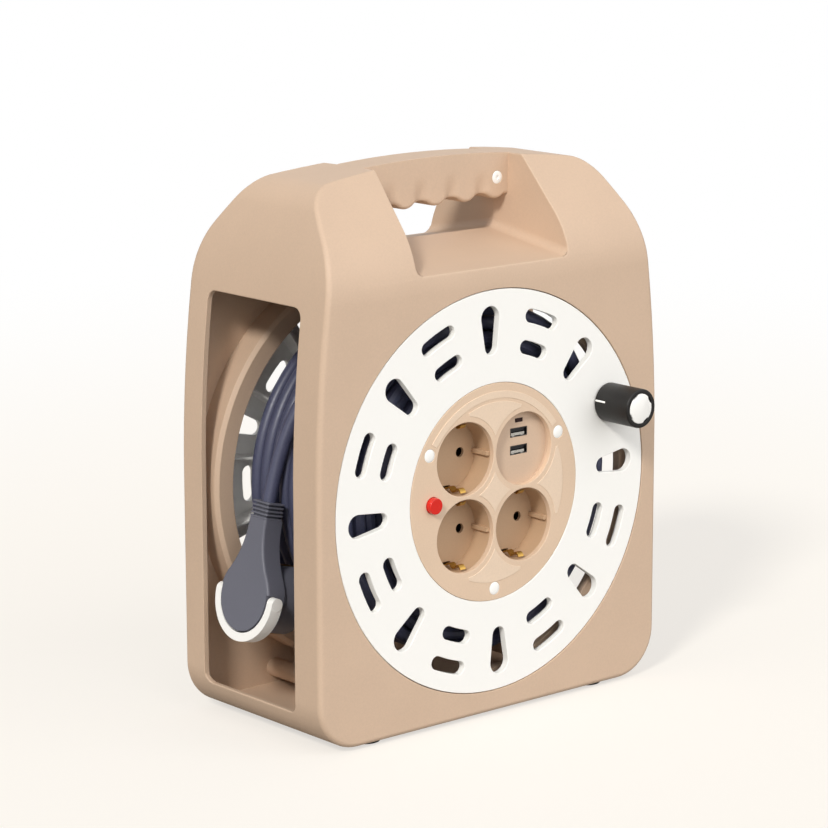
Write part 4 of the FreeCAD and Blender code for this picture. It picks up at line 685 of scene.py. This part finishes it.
def rounded_profile(corners: Sequence[Triple], steps: int = 4) -> list[Pair]:
    """Rounds the corners of a profile.

    Args:
        corners: radius, y and rounding of each corner.
        steps: points on each rounding.

    Returns:
        The profile as points.
    """
    made = []
    for i, (radius, y, turn) in enumerate(corners):
        here = Vector((radius, y))
        if turn <= 0 or i in (0, len(corners) - 1):
            made.append((radius, y))
            continue
        before = Vector(corners[i - 1][:2]) - here
        after = Vector(corners[i + 1][:2]) - here
        first = here + before.normalized() * min(turn, before.length / 2)
        last = here + after.normalized() * min(turn, after.length / 2)
        for k in range(steps + 1):
            t = k / steps
            spot = first * (1 - t) ** 2 + here * (2 * t * (1 - t)) + last * t**2
            made.append((spot.x, spot.y))
    return made


@dataclass(frozen=True)
class Lamp:
    """A distant lamp: its strength, the way to it, its width in degrees and its colour."""

    name: str
    strength: float
    way: Triple
    width: float
    colour: str

    def hang(self) -> None:
        """Adds the lamp to the scene."""
        data = bpy.data.lights.new(self.name, "SUN")
        data.energy, data.angle = self.strength, math.radians(self.width)
        data.color = linear(self.colour)[:3]
        lamp = new_object(self.name, data)
        lamp.rotation_euler = Vector(self.way).to_track_quat("Z", "Y").to_euler()


@dataclass
class Studio:
    """Camera, light and floor as in the photograph.

    The paper's colour lights the object, and the seen paper with its glow is what the
    camera sees, up to the distance in metres where it starts to fade to white.
    """

    target_mm: Triple = (-7.08, 12.6, 157.5)
    azimuth: float = -40.556
    elevation: float = 11.968
    roll: float = -0.107
    distance_mm: float = 1664.3
    lens: float = 133.82
    sensor: float = 36.0
    clip: Pair = (0.05, 100.0)
    reach: float = 30.0
    paper: str = "a9a6a1"
    seen_paper: str = "a09c95"
    glow: str = "d2cfcb"
    fade: Pair = (0.3, 1.5)
    sky: float = 0.38
    lamps: tuple[Lamp, ...] = (
        Lamp("key", 2.05, (-0.72, -0.37, 0.58), 10.0, "fffcf6"),
        Lamp("front", 1.7, (0.15, -0.93, 0.33), 80.0, "ffffff"),
    )

    def camera(self) -> None:
        """Places the camera at the photograph's view."""
        axes = Matrix.Identity(4)
        for degrees, axis in ((self.azimuth, "Z"), (90 - self.elevation, "X"), (self.roll, "Z")):
            axes @= Matrix.Rotation(math.radians(degrees), 4, axis)
        data = bpy.data.cameras.new("view")
        data.lens, data.sensor_width = self.lens, self.sensor
        data.clip_start, data.clip_end = self.clip
        eye = new_object("view", data)
        spot = Vector(self.target_mm) + axes.col[2].xyz * self.distance_mm
        eye.matrix_world = Matrix.Translation(spot * MM) @ axes
        bpy.context.scene.camera = eye

    def light(self) -> None:
        """A key from the upper left, a wide soft lamp in front and an even white sky."""
        scene = bpy.context.scene
        scene.view_settings.view_transform = "Standard"
        scene.world = bpy.data.worlds.new("sky")
        tree = empty_tree(scene.world)
        rays = add_node(tree, "ShaderNodeLightPath").outputs
        seen = rays["Is Camera Ray"]
        for other in ("Is Glossy Ray", "Is Transmission Ray"):
            values = {0: seen, 1: rays[other]}
            seen = add_node(tree, "ShaderNodeMath", values, operation="MAXIMUM")
        values = {"Value": seen, "To Min": self.sky, "To Max": 1.0}
        strength = add_node(tree, "ShaderNodeMapRange", values)
        values = {"Color": (1, 1, 1, 1), "Strength": strength}
        sky = add_node(tree, "ShaderNodeBackground", values)
        add_node(tree, "ShaderNodeOutputWorld", {"Surface": sky})
        for lamp in self.lamps:
            lamp.hang()

    def floor(self) -> None:
        """A wide pale floor that keeps the object's shadow and fades to white far out."""
        mesh = bpy.data.meshes.new("floor")
        ways = ((-1, -1), (1, -1), (1, 1), (-1, 1))
        corners = [(x * self.reach, y * self.reach, 0) for x, y in ways]
        mesh.from_pydata(corners, [], [(0, 1, 2, 3)])
        made = bpy.data.materials.new("paper_white_seamless")
        tree = empty_tree(made)
        paper = add_node(tree, "ShaderNodeBsdfDiffuse", {"Color": linear(self.paper)})
        shade = add_node(tree, "ShaderNodeBsdfDiffuse", {"Color": linear(self.seen_paper)})
        glow = add_node(tree, "ShaderNodeEmission", {"Color": linear(self.glow)})
        near = add_node(tree, "ShaderNodeAddShader", {0: shade, 1: glow})
        white = add_node(tree, "ShaderNodeEmission", {"Color": (1, 1, 1, 1)})
        place = add_node(tree, "ShaderNodeTexCoord").outputs["Object"]
        far = add_node(tree, "ShaderNodeVectorMath", {0: place}, operation="LENGTH")
        start, end = self.fade
        values = {"Value": far.outputs["Value"], "From Min": start, "From Max": end}
        fade = add_node(tree, "ShaderNodeMapRange", values, interpolation_type="SMOOTHSTEP")
        seen = add_node(tree, "ShaderNodeMixShader", {0: fade, 1: near, 2: white})
        rays = add_node(tree, "ShaderNodeLightPath").outputs
        values = {0: rays["Is Camera Ray"], 1: paper, 2: seen}
        pick = add_node(tree, "ShaderNodeMixShader", values)
        add_node(tree, "ShaderNodeOutputMaterial", {"Surface": pick})
        mesh.materials.append(made)
        new_object("floor", mesh)


@dataclass
class Cable:
    """The wound cable, its end in the plug and its inner end behind the plate.

    The tail's points are their turn in degrees, their lift off the outer layer and their
    y. The lead's points are x and y at the axis' height.
    """

    diameter: float = 7.6
    radius: float = 88.0
    turns: float = 10.3
    end_turn: float = 30.0
    rear: float = 39.3
    front: float = -43.6
    points_per_turn: int = 14
    length_m: float = 5.97
    tail: tuple[tuple[float, ...], ...] = ((84, 10.5, -37), (109, 10.5, -20), (134, 10.6, -3))
    tail_rise: float = 10.3
    tail_run: float = 38.0
    plug_end: Triple = (5.9, 0, 51)
    lead_length_m: float = 0.0735
    lead_start: tuple[Pair, ...] = ((61.9, 30.0), (43.9, 30.0))
    lead_end: tuple[Pair, ...] = ((26.6, 20.0), (16.6, 2.7), (16.6, -14.9))

    def _layer(self, done: float, radius: float) -> tuple[Vector, Vector]:
        """A point of the outer layer and its direction, in millimetres.

        Args:
            done: turns from the rear end.
            radius: distance from the axis.

        Returns:
            The point and its direction of length 1.
        """
        pitch = (self.rear - self.front) / self.turns
        angle = math.radians(self.end_turn) + math.tau * (done - self.turns)
        across, up = radius * math.cos(angle), radius * math.sin(angle)
        way = Vector((-up, -pitch / math.tau, across)).normalized()
        return Vector((across, self.rear - pitch * done, up)), way

    def route(self) -> list[Vector]:
        """Control points from the drum's rear end to the plug, in millimetres.

        Returns:
            The points.
        """
        step = math.tau / self.points_per_turn
        spread = self.radius * 4 / (3 + math.cos(step))
        first, way = self._layer(0, self.radius)
        points = [first - way * self.diameter]
        count = round(self.turns * self.points_per_turn)
        for k in range(count + 1):
            points.append(self._layer(self.turns * k / count, spread)[0])
        last, way = self._layer(self.turns, self.radius)
        lifted = self.radius + self.tail_rise
        points.append(last + way * math.sqrt(lifted**2 - self.radius**2))
        for degrees, lift, y in self.tail:
            turn, far = math.radians(degrees), self.radius + lift
            points.append(Vector((far * math.cos(turn), y, far * math.sin(turn))))
        plug = Plug.place()
        end = plug @ Vector(self.plug_end)
        upward = plug.to_3x3() @ Vector((0, 0, 1))
        return points + [end + upward * self.tail_run, end]

    def line(self, name: str, points: Sequence[Vector]) -> Piece:
        """A smooth round cable along control points.

        Args:
            name: the curve's name.
            points: control points in millimetres from the axis and the mid plane.

        Returns:
            The curve object.
        """
        data = bpy.data.curves.new(name, "CURVE")
        data.dimensions = "3D"
        data.bevel_depth = self.diameter / 2 * MM
        data.bevel_resolution = 4
        data.resolution_u = 6
        data.use_fill_caps = True
        spline = data.splines.new("NURBS")
        spline.points.add(len(points) - 1)
        for row, spot in zip(spline.points, points):
            row.co = (*point(*spot), 1)
        spline.order_u = 3
        spline.use_endpoint_u = True
        data.materials.append(SHEATH_PVC.material())
        return new_object(name, data)

    def build(self) -> Piece:
        """Makes the cable from the drum to the plug."""
        cable = self.line("supply_cable", self.route())
        return settle(cable, Body.HOUSING, "cable_sheath", ("cable_outer_layer", "cable_tail"))

    def build_lead(self) -> None:
        """Makes the short inner end that runs from the drum to the terminal block."""
        points = [Vector((x, y, 0)) for x, y in self.lead_start + self.lead_end]
        lead = self.line("inner_cable", points)
        settle(lead, Body.REEL, "cable_sheath", ("inner_lead",))

    def declare(self, pieces: Sequence[object]) -> None:
        """Works out the first point of the cable's route, and keeps nothing.

        Args:
            pieces: not used.
        """
        point(*self.route()[0])


class WoundLayers(Recipe):
    """Layers of cable wound side by side on the drum."""

    layers: int = 3
    steps_per_turn: int = 44
    sides: int = 10

    def __init__(self) -> None:
        """Builds the tree."""
        sizes = ("First Radius", "Layer Step", "Width", "Turns", "Cable Radius")
        super().__init__("wound_layers", dict.fromkeys(sizes, "NodeSocketFloat"))
        tree, given = self.tree, self.given
        values = {"Resolution": self.sides, "Radius": given["Cable Radius"]}
        section = add_node(tree, "GeometryNodeCurvePrimitiveCircle", values)
        joined = add_node(tree, "GeometryNodeJoinGeometry")
        for k in range(self.layers):
            values = {0: given["Layer Step"], 1: float(k), 2: given["First Radius"]}
            far = add_node(tree, "ShaderNodeMath", values, operation="MULTIPLY_ADD")
            values = {
                "Resolution": self.steps_per_turn,
                "Rotations": given["Turns"],
                "Start Radius": far,
                "End Radius": far,
                "Height": given["Width"],
                "Reverse": k % 2 == 1,
            }
            spiral = add_node(tree, "GeometryNodeCurveSpiral", values)
            values = {"Curve": spiral, "Profile Curve": section, "Fill Caps": True}
            wall = add_node(tree, "GeometryNodeCurveToMesh", values)
            tree.links.new(wall.outputs[0], joined.inputs[0])
        self.close(joined)


@dataclass
class Plug:
    """The plug parked in the side window."""

    copy: SolidCopy
    edge: float = 0.35
    relief_edge: float = 0.2
    spot: ClassVar[Triple] = (-117.5, 9.5, -49.7)
    lean: ClassVar[float] = 14.0

    @classmethod
    def place(cls) -> Matrix:
        """The plug's place about the axis and the mid plane, in millimetres."""
        turn = Matrix.Rotation(math.radians(cls.lean), 4, "Y")
        return Matrix.Translation(cls.spot) @ turn

    def build(self) -> list[Piece]:
        """Makes the plug's body, its strain relief and the pull ring.

        Returns:
            All pieces of the plug.
        """
        make = self.copy.make
        plastic = (PLUG_PVC, Body.HOUSING, "plug_plastic")
        body = make("plug_body", "plug_moulding", *plastic, [EdgeRule(self.edge)])
        relief = make("plug_strain_relief", "plug_relief", *plastic, [EdgeRule(self.relief_edge)])
        ring = make("pull_ring", "pull_ring_half", WHITE_ABS, Body.RING, "white_plastic")
        self.copy.dress(PIN_NICKEL, "plug_pins")
        self.copy.dress(BRASS, "plug_earth_strips")
        nodes = self.copy.nodes
        return [body, relief, ring, nodes["plug_pins"], nodes["plug_earth_strips"]]


class Edge(Enum):
    """The kinds of edge on a shell."""

    SEAM = "where the shells meet"
    RIM = "round the hand hole"
    WINDOW = "round a side window"
    OTHER = "anywhere else"


@dataclass
class Housing:
    """The two shells, their screws, caps and feet, with depths from the mid plane."""

    copy: SolidCopy
    copies: Copies
    rim_edge: float = 0.8
    rim_reach: float = 56.0
    rim_low: float = 238.0
    rim_depth: float = 11.3
    window_edge: float = 0.8
    window_reach: float = 112.0
    window_span: Pair = (19.0, 236.0)
    window_depth: float = 40.5
    edge: float = 0.3
    hair: float = 0.02
    grip_depth: float = 11.0
    grip_round: float = 2.0
    grip_reach: float = 49.0
    grip_low: float = 266.0
    margin: float = 1.0
    hollows: tuple[float, ...] = (-32.0, -10.67, 10.67, 32.0)
    hollow_half: float = 6.4
    hollow_deep: float = 1.7
    hollow_low: float = 273.5
    hollow_high: float = 289.0
    grid: float = 1.25
    grid_cuts: int = 38
    cap_radius: float = 3.5
    cap_dimple: float = 1.1
    cap_place: Pair = (43.0, 159.7)

    def edge_at(self, place: Vector) -> Edge:
        """The kind of edge at a place.

        Args:
            place: a point in millimetres.

        Returns:
            Its kind.
        """
        across, depth = abs(place.x), abs(place.y - MID)
        low, high = self.window_span
        if depth < self.hair:
            return Edge.SEAM
        if across < self.rim_reach and place.z > self.rim_low and depth > self.rim_depth:
            return Edge.RIM
        if across > self.window_reach and low < place.z < high and depth < self.window_depth:
            return Edge.WINDOW
        return Edge.OTHER

    def rules(self) -> list[EdgeRule]:
        """The roundings of a shell.

        Returns:
            The rules, widest first.
        """
        widths = {
            Edge.RIM: self.rim_edge,
            Edge.WINDOW: self.window_edge,
            Edge.OTHER: self.edge,
        }
        return [
            EdgeRule(width, lambda place, kind=kind: self.edge_at(place) is kind)
            for kind, width in widths.items()
        ]

    def on_grip(self, face: bmesh.types.BMFace) -> bool:
        """Whether a face lies in the grip's front or rear.

        Args:
            face: a face of a shell's copy.

        Returns:
            True if it does.
        """
        spot = face.calc_center_median() / MM
        if abs(spot.x) > self.grip_reach + self.margin or spot.z < self.grip_low - self.margin:
            return False
        depths = [abs(vert.co.y / MM - MID) for vert in face.verts]
        return all(abs(depth - self.grip_depth) < self.hair for depth in depths)

    def sink(self, spot: Vector) -> float:
        """Depth of the finger hollows at a place, in millimetres.

        Args:
            spot: a point in millimetres.

        Returns:
            The depth, or 0 outside the hollows.
        """
        across = min(abs(spot.x - middle) for middle in self.hollows) / self.hollow_half
        up = (spot.z - self.hollow_low) / (self.hollow_high - self.hollow_low)
        if across >= 1 or up >= 1:
            return 0.0
        fade = 0.5 + 0.5 * math.cos(math.pi * max(up, 0))
        return self.hollow_deep * math.cos(math.pi / 2 * across) ** 2 * fade

    def carve_grip(self, work: Faces) -> None:
        """Cuts the grip's face to a fine grid and sinks the hollows above its waves.

        Args:
            work: the faces of a shell's copy.
        """
        faces = [face for face in work.faces if self.on_grip(face)]
        low = self.grip_low + self.margin
        rows = int((self.hollow_high - low) / self.grid) + 2
        cuts = [((0, 0, 1), low + k * self.grid) for k in range(rows)]
        columns = range(-self.grid_cuts, self.grid_cuts + 1)
        cuts += [((1, 0, 0), k * self.grid) for k in columns]
        for way, far in cuts:
            edges = dict.fromkeys(edge for face in faces for edge in face.edges)
            verts = dict.fromkeys(vert for face in faces for vert in face.verts)
            normal = Vector(way)
            made = bmesh.ops.bisect_plane(
                work,
                geom=[*verts, *edges, *faces],
                plane_co=normal * far * MM,
                plane_no=normal,
                dist=1e-6,
            )
            faces = [item for item in made["geom"] if isinstance(item, bmesh.types.BMFace)]
        for vert in work.verts:
            spot = vert.co / MM
            out = spot.y - MID
            share = (abs(out) - self.grip_depth + self.grip_round) / self.grip_round
            inside = abs(spot.x) < self.grip_reach and self.grip_low < spot.z < self.hollow_high
            if inside and 0 < share < 1.01:
                vert.co.y -= math.copysign(self.sink(spot) * share * MM, out)

    def build(self) -> None:
        """Makes the shells and what is fixed to them."""
        for node, name in (("front_shell", "housing_front"), ("rear_shell", "housing_rear")):
            shell = (node, name, HOUSING_ABS, Body.HOUSING, "housing_plastic")
            self.copy.make(*shell, self.rules(), carve=self.carve_grip)
        self.copy.dress(ZINC_STEEL, "housing_screws", "grip_screws")
        self.copy.dress(FOOT_RUBBER, "rubber_feet")
        x, z = self.cap_place
        front = Spot(point(x, -self.grip_depth, z))
        rear = Spot(point(-x, self.grip_depth, z), (0, 0, 180))
        cap = screw_cap(self.cap_radius, self.cap_dimple)
        made = self.copies.place("grip_caps", cap, [front, rear], WHITE_ABS)
        settle(made, Body.HOUSING, "white_plastic", ("grip_screw_caps",))


def screw_cap(radius: float, dimple: float = 0.0) -> Mesh:
    """A small domed cap whose rim lies in the plane y = 0 and looks to -Y.

    Args:
        radius: the cap's radius.
        dimple: radius of the round pocket in its middle, or 0.

    Returns:
        The cap about the origin.
    """
    pocket, lip, thick = 0.5, 0.15, 1.0
    dome = [(0, -0.28)]
    if dimple:
        dome = [(0, pocket), (dimple, pocket), (dimple, -lip), (dimple + lip, -0.25)]
    dome += [(radius * 0.55 + dimple / 4, -0.22), (radius * 0.86, -0.05), (radius, 0.2)]
    return lathe(dome + [(radius, thick), (0, thick)], 32)


@dataclass
class Reel:
    """The turning discs, the drum and the inner layers of cable."""

    copy: SolidCopy
    edge: float = 0.35
    layer_radius: float = 65.95
    layer_step: float = 7.05
    layer_width: float = 83.2
    layer_turns: float = 10.9
    layer_front: float = -44.0
    cable_radius: float = 3.8

    def build(self) -> None:
        """Makes the discs and what is on the drum."""
        for node, name in (("front_flange", "disc_front"), ("rear_flange", "disc_rear")):
            disc = (node, name, WHITE_ABS, Body.REEL, "white_plastic")
            self.copy.make(*disc, [EdgeRule(self.edge)])
        steel = ("drum_screws", "knob_spindle", "knob_nut", "plate_screws")
        for finish, names in (
            (WHITE_ABS, ("drum_sleeve", "tie_tubes")),
            (ZINC_STEEL, steel),
            (GREY_NYLON, ("contact_blocks", "terminal_block", "usb_cover")),
            (PIN_BRONZE_PAINTED_SHADE, ("pin_contacts",)),
            # The pin contacts are darkened as painted shade in the pin holes
            (BRASS, ("bus_bars",)),
            (BLACK_ABS, ("thermal_cutout",)),
            (SOLDER_MASK, ("usb_board",)),
        ):
            self.copy.dress(finish, *names)
        self.winding()

    def winding(self) -> None:
        """Grows the three inner layers of cable."""
        values = {
            "First Radius": self.layer_radius * MM,
            "Layer Step": self.layer_step * MM,
            "Width": self.layer_width * MM,
            "Turns": self.layer_turns,
            "Cable Radius": self.cable_radius * MM,
            "Finish": SHEATH_PVC.material(),
        }
        start = bpy.data.meshes.new("winding_start")
        made = WoundLayers().grow("inner_winding", start, values)
        turn = Matrix.Rotation(math.radians(-90), 4, "X")
        made.data.transform(Matrix.Translation(point(0, self.layer_front, 0)) @ turn)
        settle(made, Body.REEL, "cable_sheath", ("cable_core",))


@dataclass
class SocketPlate:
    """The round plate with its wells, relief, contacts, caps and USB insert."""

    copy: SolidCopy
    copies: Copies
    edge: float = 0.35
    cup_edge: float = 0.25
    button_edge: float = 0.5
    face: float = -57.7
    offset: float = 20.8
    rim: float = 22.9
    band: float = 49.0
    band_start: float = 67.5
    wedge_end: float = 96.0
    arch: Pair = (50.8, 54.6)
    arch_turns: Pair = (36.0, 144.0)
    relief: float = 0.25
    root: float = 0.3
    relief_edge: float = 0.12
    cap_radius: float = 3.5
    caps_circle: float = 52.75
    caps_turns: Pair = (30.0, 270.0)
    wells: tuple[tuple[int, int], ...] = ((-1, 1), (-1, -1), (1, -1))
    ports: Pair = (8.3, -1.3)
    spring_x: float = 20.3
    spring_back: float = 4.9
    spring_thick: float = 0.3
    spring_blades: tuple[tuple[float, ...], ...] = (
        (0.0, -0.95, 9.6, 1.5),
        (-3.2, -1.8, 1.6, 0.4),
        (3.2, -1.8, 1.6, 0.4),
    )

    def build(self) -> None:
        """Makes every piece of the plate."""
        plastic = (Body.REEL, "plate_plastic")
        plate = ("socket_plate", "plate_face", PLATE_ABS, *plastic)
        self.copy.make(*plate, [EdgeRule(self.edge)], quartered=True)
        # The cups get a darker colour as painted shade; the USB cup, upper right, keeps the
        # housing's
        cups = ("socket_wells", "plate_wells", CUP_ABS_PAINTED_SHADE, *plastic)
        wells = self.copy.make(*cups, [EdgeRule(self.cup_edge)]).data
        wells.materials.append(HOUSING_ABS.material())
        for face in wells.polygons:
            face.material_index = int(face.center.x > 0 and face.center.z > AXIS * MM)
        for name, outline in self.fields():
            settle(self.panel(name, outline), *plastic)
        around = self._around(self.caps_circle, *self.caps_turns, 2)
        spots = [Spot(point(p.x, self.face, p.y)) for p in around]
        caps = self.copies.place("plate_caps", screw_cap(self.cap_radius), spots, WHITE_ABS)
        settle(caps, Body.REEL, "white_plastic", ("plate_screw_caps",))
        self.tongues()
        self.springs()
        # The port shells are darkened as painted shade in the port openings
        self.copy.dress(PORT_SHELL_PAINTED_SHADE, "usb_ports")
        self.copy.dress(TONGUE_BLACK, "usb_tongues")
        self.copy.dress(LIGHT_GUIDE, "indicator_window")
        button = ("reset_button", "reset_cap", RED_ACETAL, Body.BUTTON, "red_plastic")
        self.copy.make(*button, [EdgeRule(self.button_edge)])

    def fields(self) -> list[tuple[str, list[Vector]]]:
        """Outlines of the raised fields between the wells, as (x, z) points.

        Returns:
            Each name with its outline.
        """
        half = math.sqrt(self.rim**2 - self.offset**2)
        corner = Vector((self.offset, self.offset))
        low = math.degrees(math.atan2(half, -self.offset))
        lean = math.degrees(math.atan2(half, self.offset))
        wedge = self._around(self.rim, low, self.wedge_end, 12, corner)
        wedge += self._around(self.band, self.band_start, 90, 10)
        mirrored = [Vector((-p.x, p.y)) for p in reversed(wedge)]
        top_field = wedge + mirrored[1:-1]
        quarter = self._around(self.rim, 180 + lean, 270 - lean, 12, corner)[:-1]
        diamond = []
        for k in range(4):
            turn = Matrix.Rotation(math.radians(-90 * k), 2)
            diamond += [turn @ p for p in quarter]
        made = [("field_top", top_field), ("field_middle", diamond)]
        for name, degrees in (("field_right", -90), ("field_low", 180)):
            turn = Matrix.Rotation(math.radians(degrees), 2)
            made.append((name, [turn @ p for p in top_field]))
        inner, outer = self.arch
        start, end = self.arch_turns
        arch = self._around(outer, start, end, 36) + self._around(inner, end, start, 36)
        return made + [("field_arch", arch)]

    @staticmethod
    def _around(
        radius: float, start: float, end: float, steps: int, centre: Sequence[float] = (0, 0)
    ) -> list[Vector]:
        """Points on an arc about the plate's middle or another centre.

        Args:
            radius: the arc's radius.
            start: first angle in degrees.
            end: last angle in degrees.
            steps: number of steps between them.
            centre: the middle of the arc.

        Returns:
            The points as (x, z).
        """
        made = []
        for k in range(steps + 1):
            turn = math.radians(start + (end - start) * k / steps)
            made.append(Vector(centre) + Vector((math.cos(turn), math.sin(turn))) * radius)
        return made

    def panel(self, name: str, outline: Sequence[Vector]) -> Piece:
        """A thin raised field with a soft edge.

        Args:
            name: the piece's name.
            outline: its outline as (x, z) points.

        Returns:
            The field.
        """
        spots = [point(p.x, self.face + self.root, p.y) for p in outline]
        work = slab(spots, self.root + self.relief, self.relief_edge, 1)
        # The fields take the lighter colour of their painted sheen
        return new_object(name, baked(work, name, FIELD_ABS_PAINTED_SHEEN))

    def springs(self) -> None:
        """Sets the springs low in the ports, bright as painted light on the ports' floor."""
        work = bmesh.new()
        for x, z, wide, tall in self.spring_blades:
            place = Matrix.Translation(Vector((x, 0, z)) * MM)
            size = Matrix.Diagonal(Vector((wide, self.spring_thick, tall)) * MM).to_4x4()
            bmesh.ops.create_cube(work, size=1, matrix=place @ size)
        x, y = self.spring_x, self.face + self.spring_back
        spots = [Spot(point(x, y, self.offset + height)) for height in self.ports]
        made = self.copies.place("port_springs", baked(work, "spring"), spots, PORT_STEEL_PAINTED_LIGHT)
        settle(made, Body.REEL, "port_steel")

    def tongues(self) -> None:
        """Sets the sprung earth contacts at the top and bottom of each well."""
        spots = []
        for side, height in self.wells:
            place = point(side * self.offset, self.face, height * self.offset)
            spots += [Spot(place), Spot(place, (0, 180, 0))]
        made = self.copies.place("earth_tongues", self.tongue(), spots, BRASS)
        settle(made, Body.REEL, "contact_brass", ("earth_straps",))

    @staticmethod
    def tongue() -> Mesh:
        """One sprung strip: up from the floor, bulged to the middle, curled at its tip.

        Returns:
            The strip about the well's middle.
        """
        path = [(32, 17.9), (15.5, 17.9), (14, 17.8), (12.6, 17.0), (11.4, 16.6)]
        path += [(10.3, 17.1), (9.4, 18.2), (8.2, 18.7), (7, 18.2), (6, 17.1)]
        path += [(4.9, 16.4), (3.7, 16.5), (2.7, 17.3), (2.2, 18.4)]
        thick, half = 0.7, 1.9
        line = [Vector(p) for p in path]
        work = bmesh.new()
        rows = []
        for i, here in enumerate(line):
            before, after = line[max(i - 1, 0)], line[min(i + 1, len(line) - 1)]
            along = (after - before).normalized()
            out = Vector((-along.y, along.x)) * thick / 2
            row = []
            for across, side in ((-half, 1), (half, 1), (half, -1), (-half, -1)):
                y, z = here + out * side
                row.append(work.verts.new(Vector((across, y, -z)) * MM))
            rows.append(row)
        skin(work, rows)
        work.faces.new(rows[0])
        work.faces.new(rows[-1])
        bmesh.ops.recalc_face_normals(work, faces=work.faces)
        return baked(work, "tongue")


@dataclass
class Knob:
    """The crank knob on its spindle."""

    x: float = 82.74
    z: float = 37.88
    front: float = -83.2
    radius: float = 10.7
    length: float = 25.0
    recess: float = 8.3
    recess_deep: float = 1.2
    ledge: float = 7.4
    room: float = 5.6
    room_back: float = 20.0
    bore: float = 3.1
    bore_deep: float = 4.0
    cap_radius: float = 7.35
    lobe: float = 0.8
    lobe_turn: float = 0.5
    lobe_start: float = 0.3
    lobe_slope: float = 0.25
    cap_back: float = 1.2
    cap_thick: float = 1.1
    mark_size: Triple = (1.2, 7.5, 1.1)
    mark_turn: float = 168.0
    mark_back: float = 4.2
    mark_out: float = 10.2
    small_edge: float = 0.25

    def build(self) -> None:
        """Makes the grip, its white end and the mark in its side."""
        back, ledge = self.length, (self.ledge, self.recess_deep, 0)
        corners = [
            ledge,
            (self.recess, self.recess_deep, 0),
            (self.recess, 0, 0.3),
            (self.radius, 0, 0.7),
            (self.radius, back, 0.5),
            (self.bore, back, 0),
            (self.bore, back - self.bore_deep, 0),
            (self.room, self.room_back, 0),
            (self.room, self.recess_deep, 0),
            ledge,
        ]
        grip = lathe(rounded_profile(corners), 96)
        grip.materials.append(BLACK_ABS.material())
        for name, mesh, slot, nodes in (
            ("knob_barrel", grip, "black_plastic", ("knob_grip",)),
            ("knob_end", self.cap(), "white_plastic", ("knob_cap",)),
            ("knob_mark", self.mark(), "white_plastic", ()),
        ):
            mesh.name = name
            mesh.transform(Matrix.Translation(point(self.x, self.front, self.z)))
            settle(new_object(name, shaded(mesh)), Body.KNOB, slot, nodes)

    def cap(self) -> Mesh:
        """The white end: a disc with four lobes.

        Returns:
            The disc about the knob's end.
        """
        spots = []
        steps = 96
        for k in range(steps):
            turn = math.tau * k / steps
            wave = abs(math.cos(2 * turn + self.lobe_turn)) - self.lobe_start
            far = self.cap_radius + self.lobe * min(1.0, max(0.0, wave / self.lobe_slope))
            spot = Vector((far * math.cos(turn), self.cap_back, far * math.sin(turn)))
            spots.append(spot * MM)
        return baked(slab(spots, self.cap_thick, self.small_edge, 2), "knob_end", WHITE_ABS)

    def mark(self) -> Mesh:
        """A narrow white bar in the grip's side, at the disc's end.

        Returns:
            The inlay about the knob's end.
        """
        work = bmesh.new()
        bmesh.ops.create_cube(work, size=1)
        for vert in work.verts:
            vert.co = Vector([a * b for a, b in zip(vert.co, self.mark_size)]) * MM
        bevel(work, work.edges[:], self.small_edge, 2)
        mesh = baked(work, "knob_mark", WHITE_ABS)
        turn = Matrix.Rotation(-math.radians(self.mark_turn), 4, "Y")
        start = Vector((self.mark_out, self.length - self.mark_back, 0)) * MM
        mesh.transform(turn @ Matrix.Translation(start))
        return mesh


def main() -> None:
    """Builds the object in order."""
    logging.basicConfig(level=logging.INFO, format="%(name)s %(message)s")
    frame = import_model()
    studio = Studio()
    studio.camera()
    cable = Cable()
    supply = cable.build()
    cable.build_lead()
    copy = SolidCopy(frame["nodes"])
    cable.declare(Plug(copy).build())
    studio.light()
    studio.floor()
    copies = Copies()
    Housing(copy, copies).build()
    Reel(copy).build()
    SocketPlate(copy, copies).build()
    Knob().build()


if __name__ == "__main__":
    main()
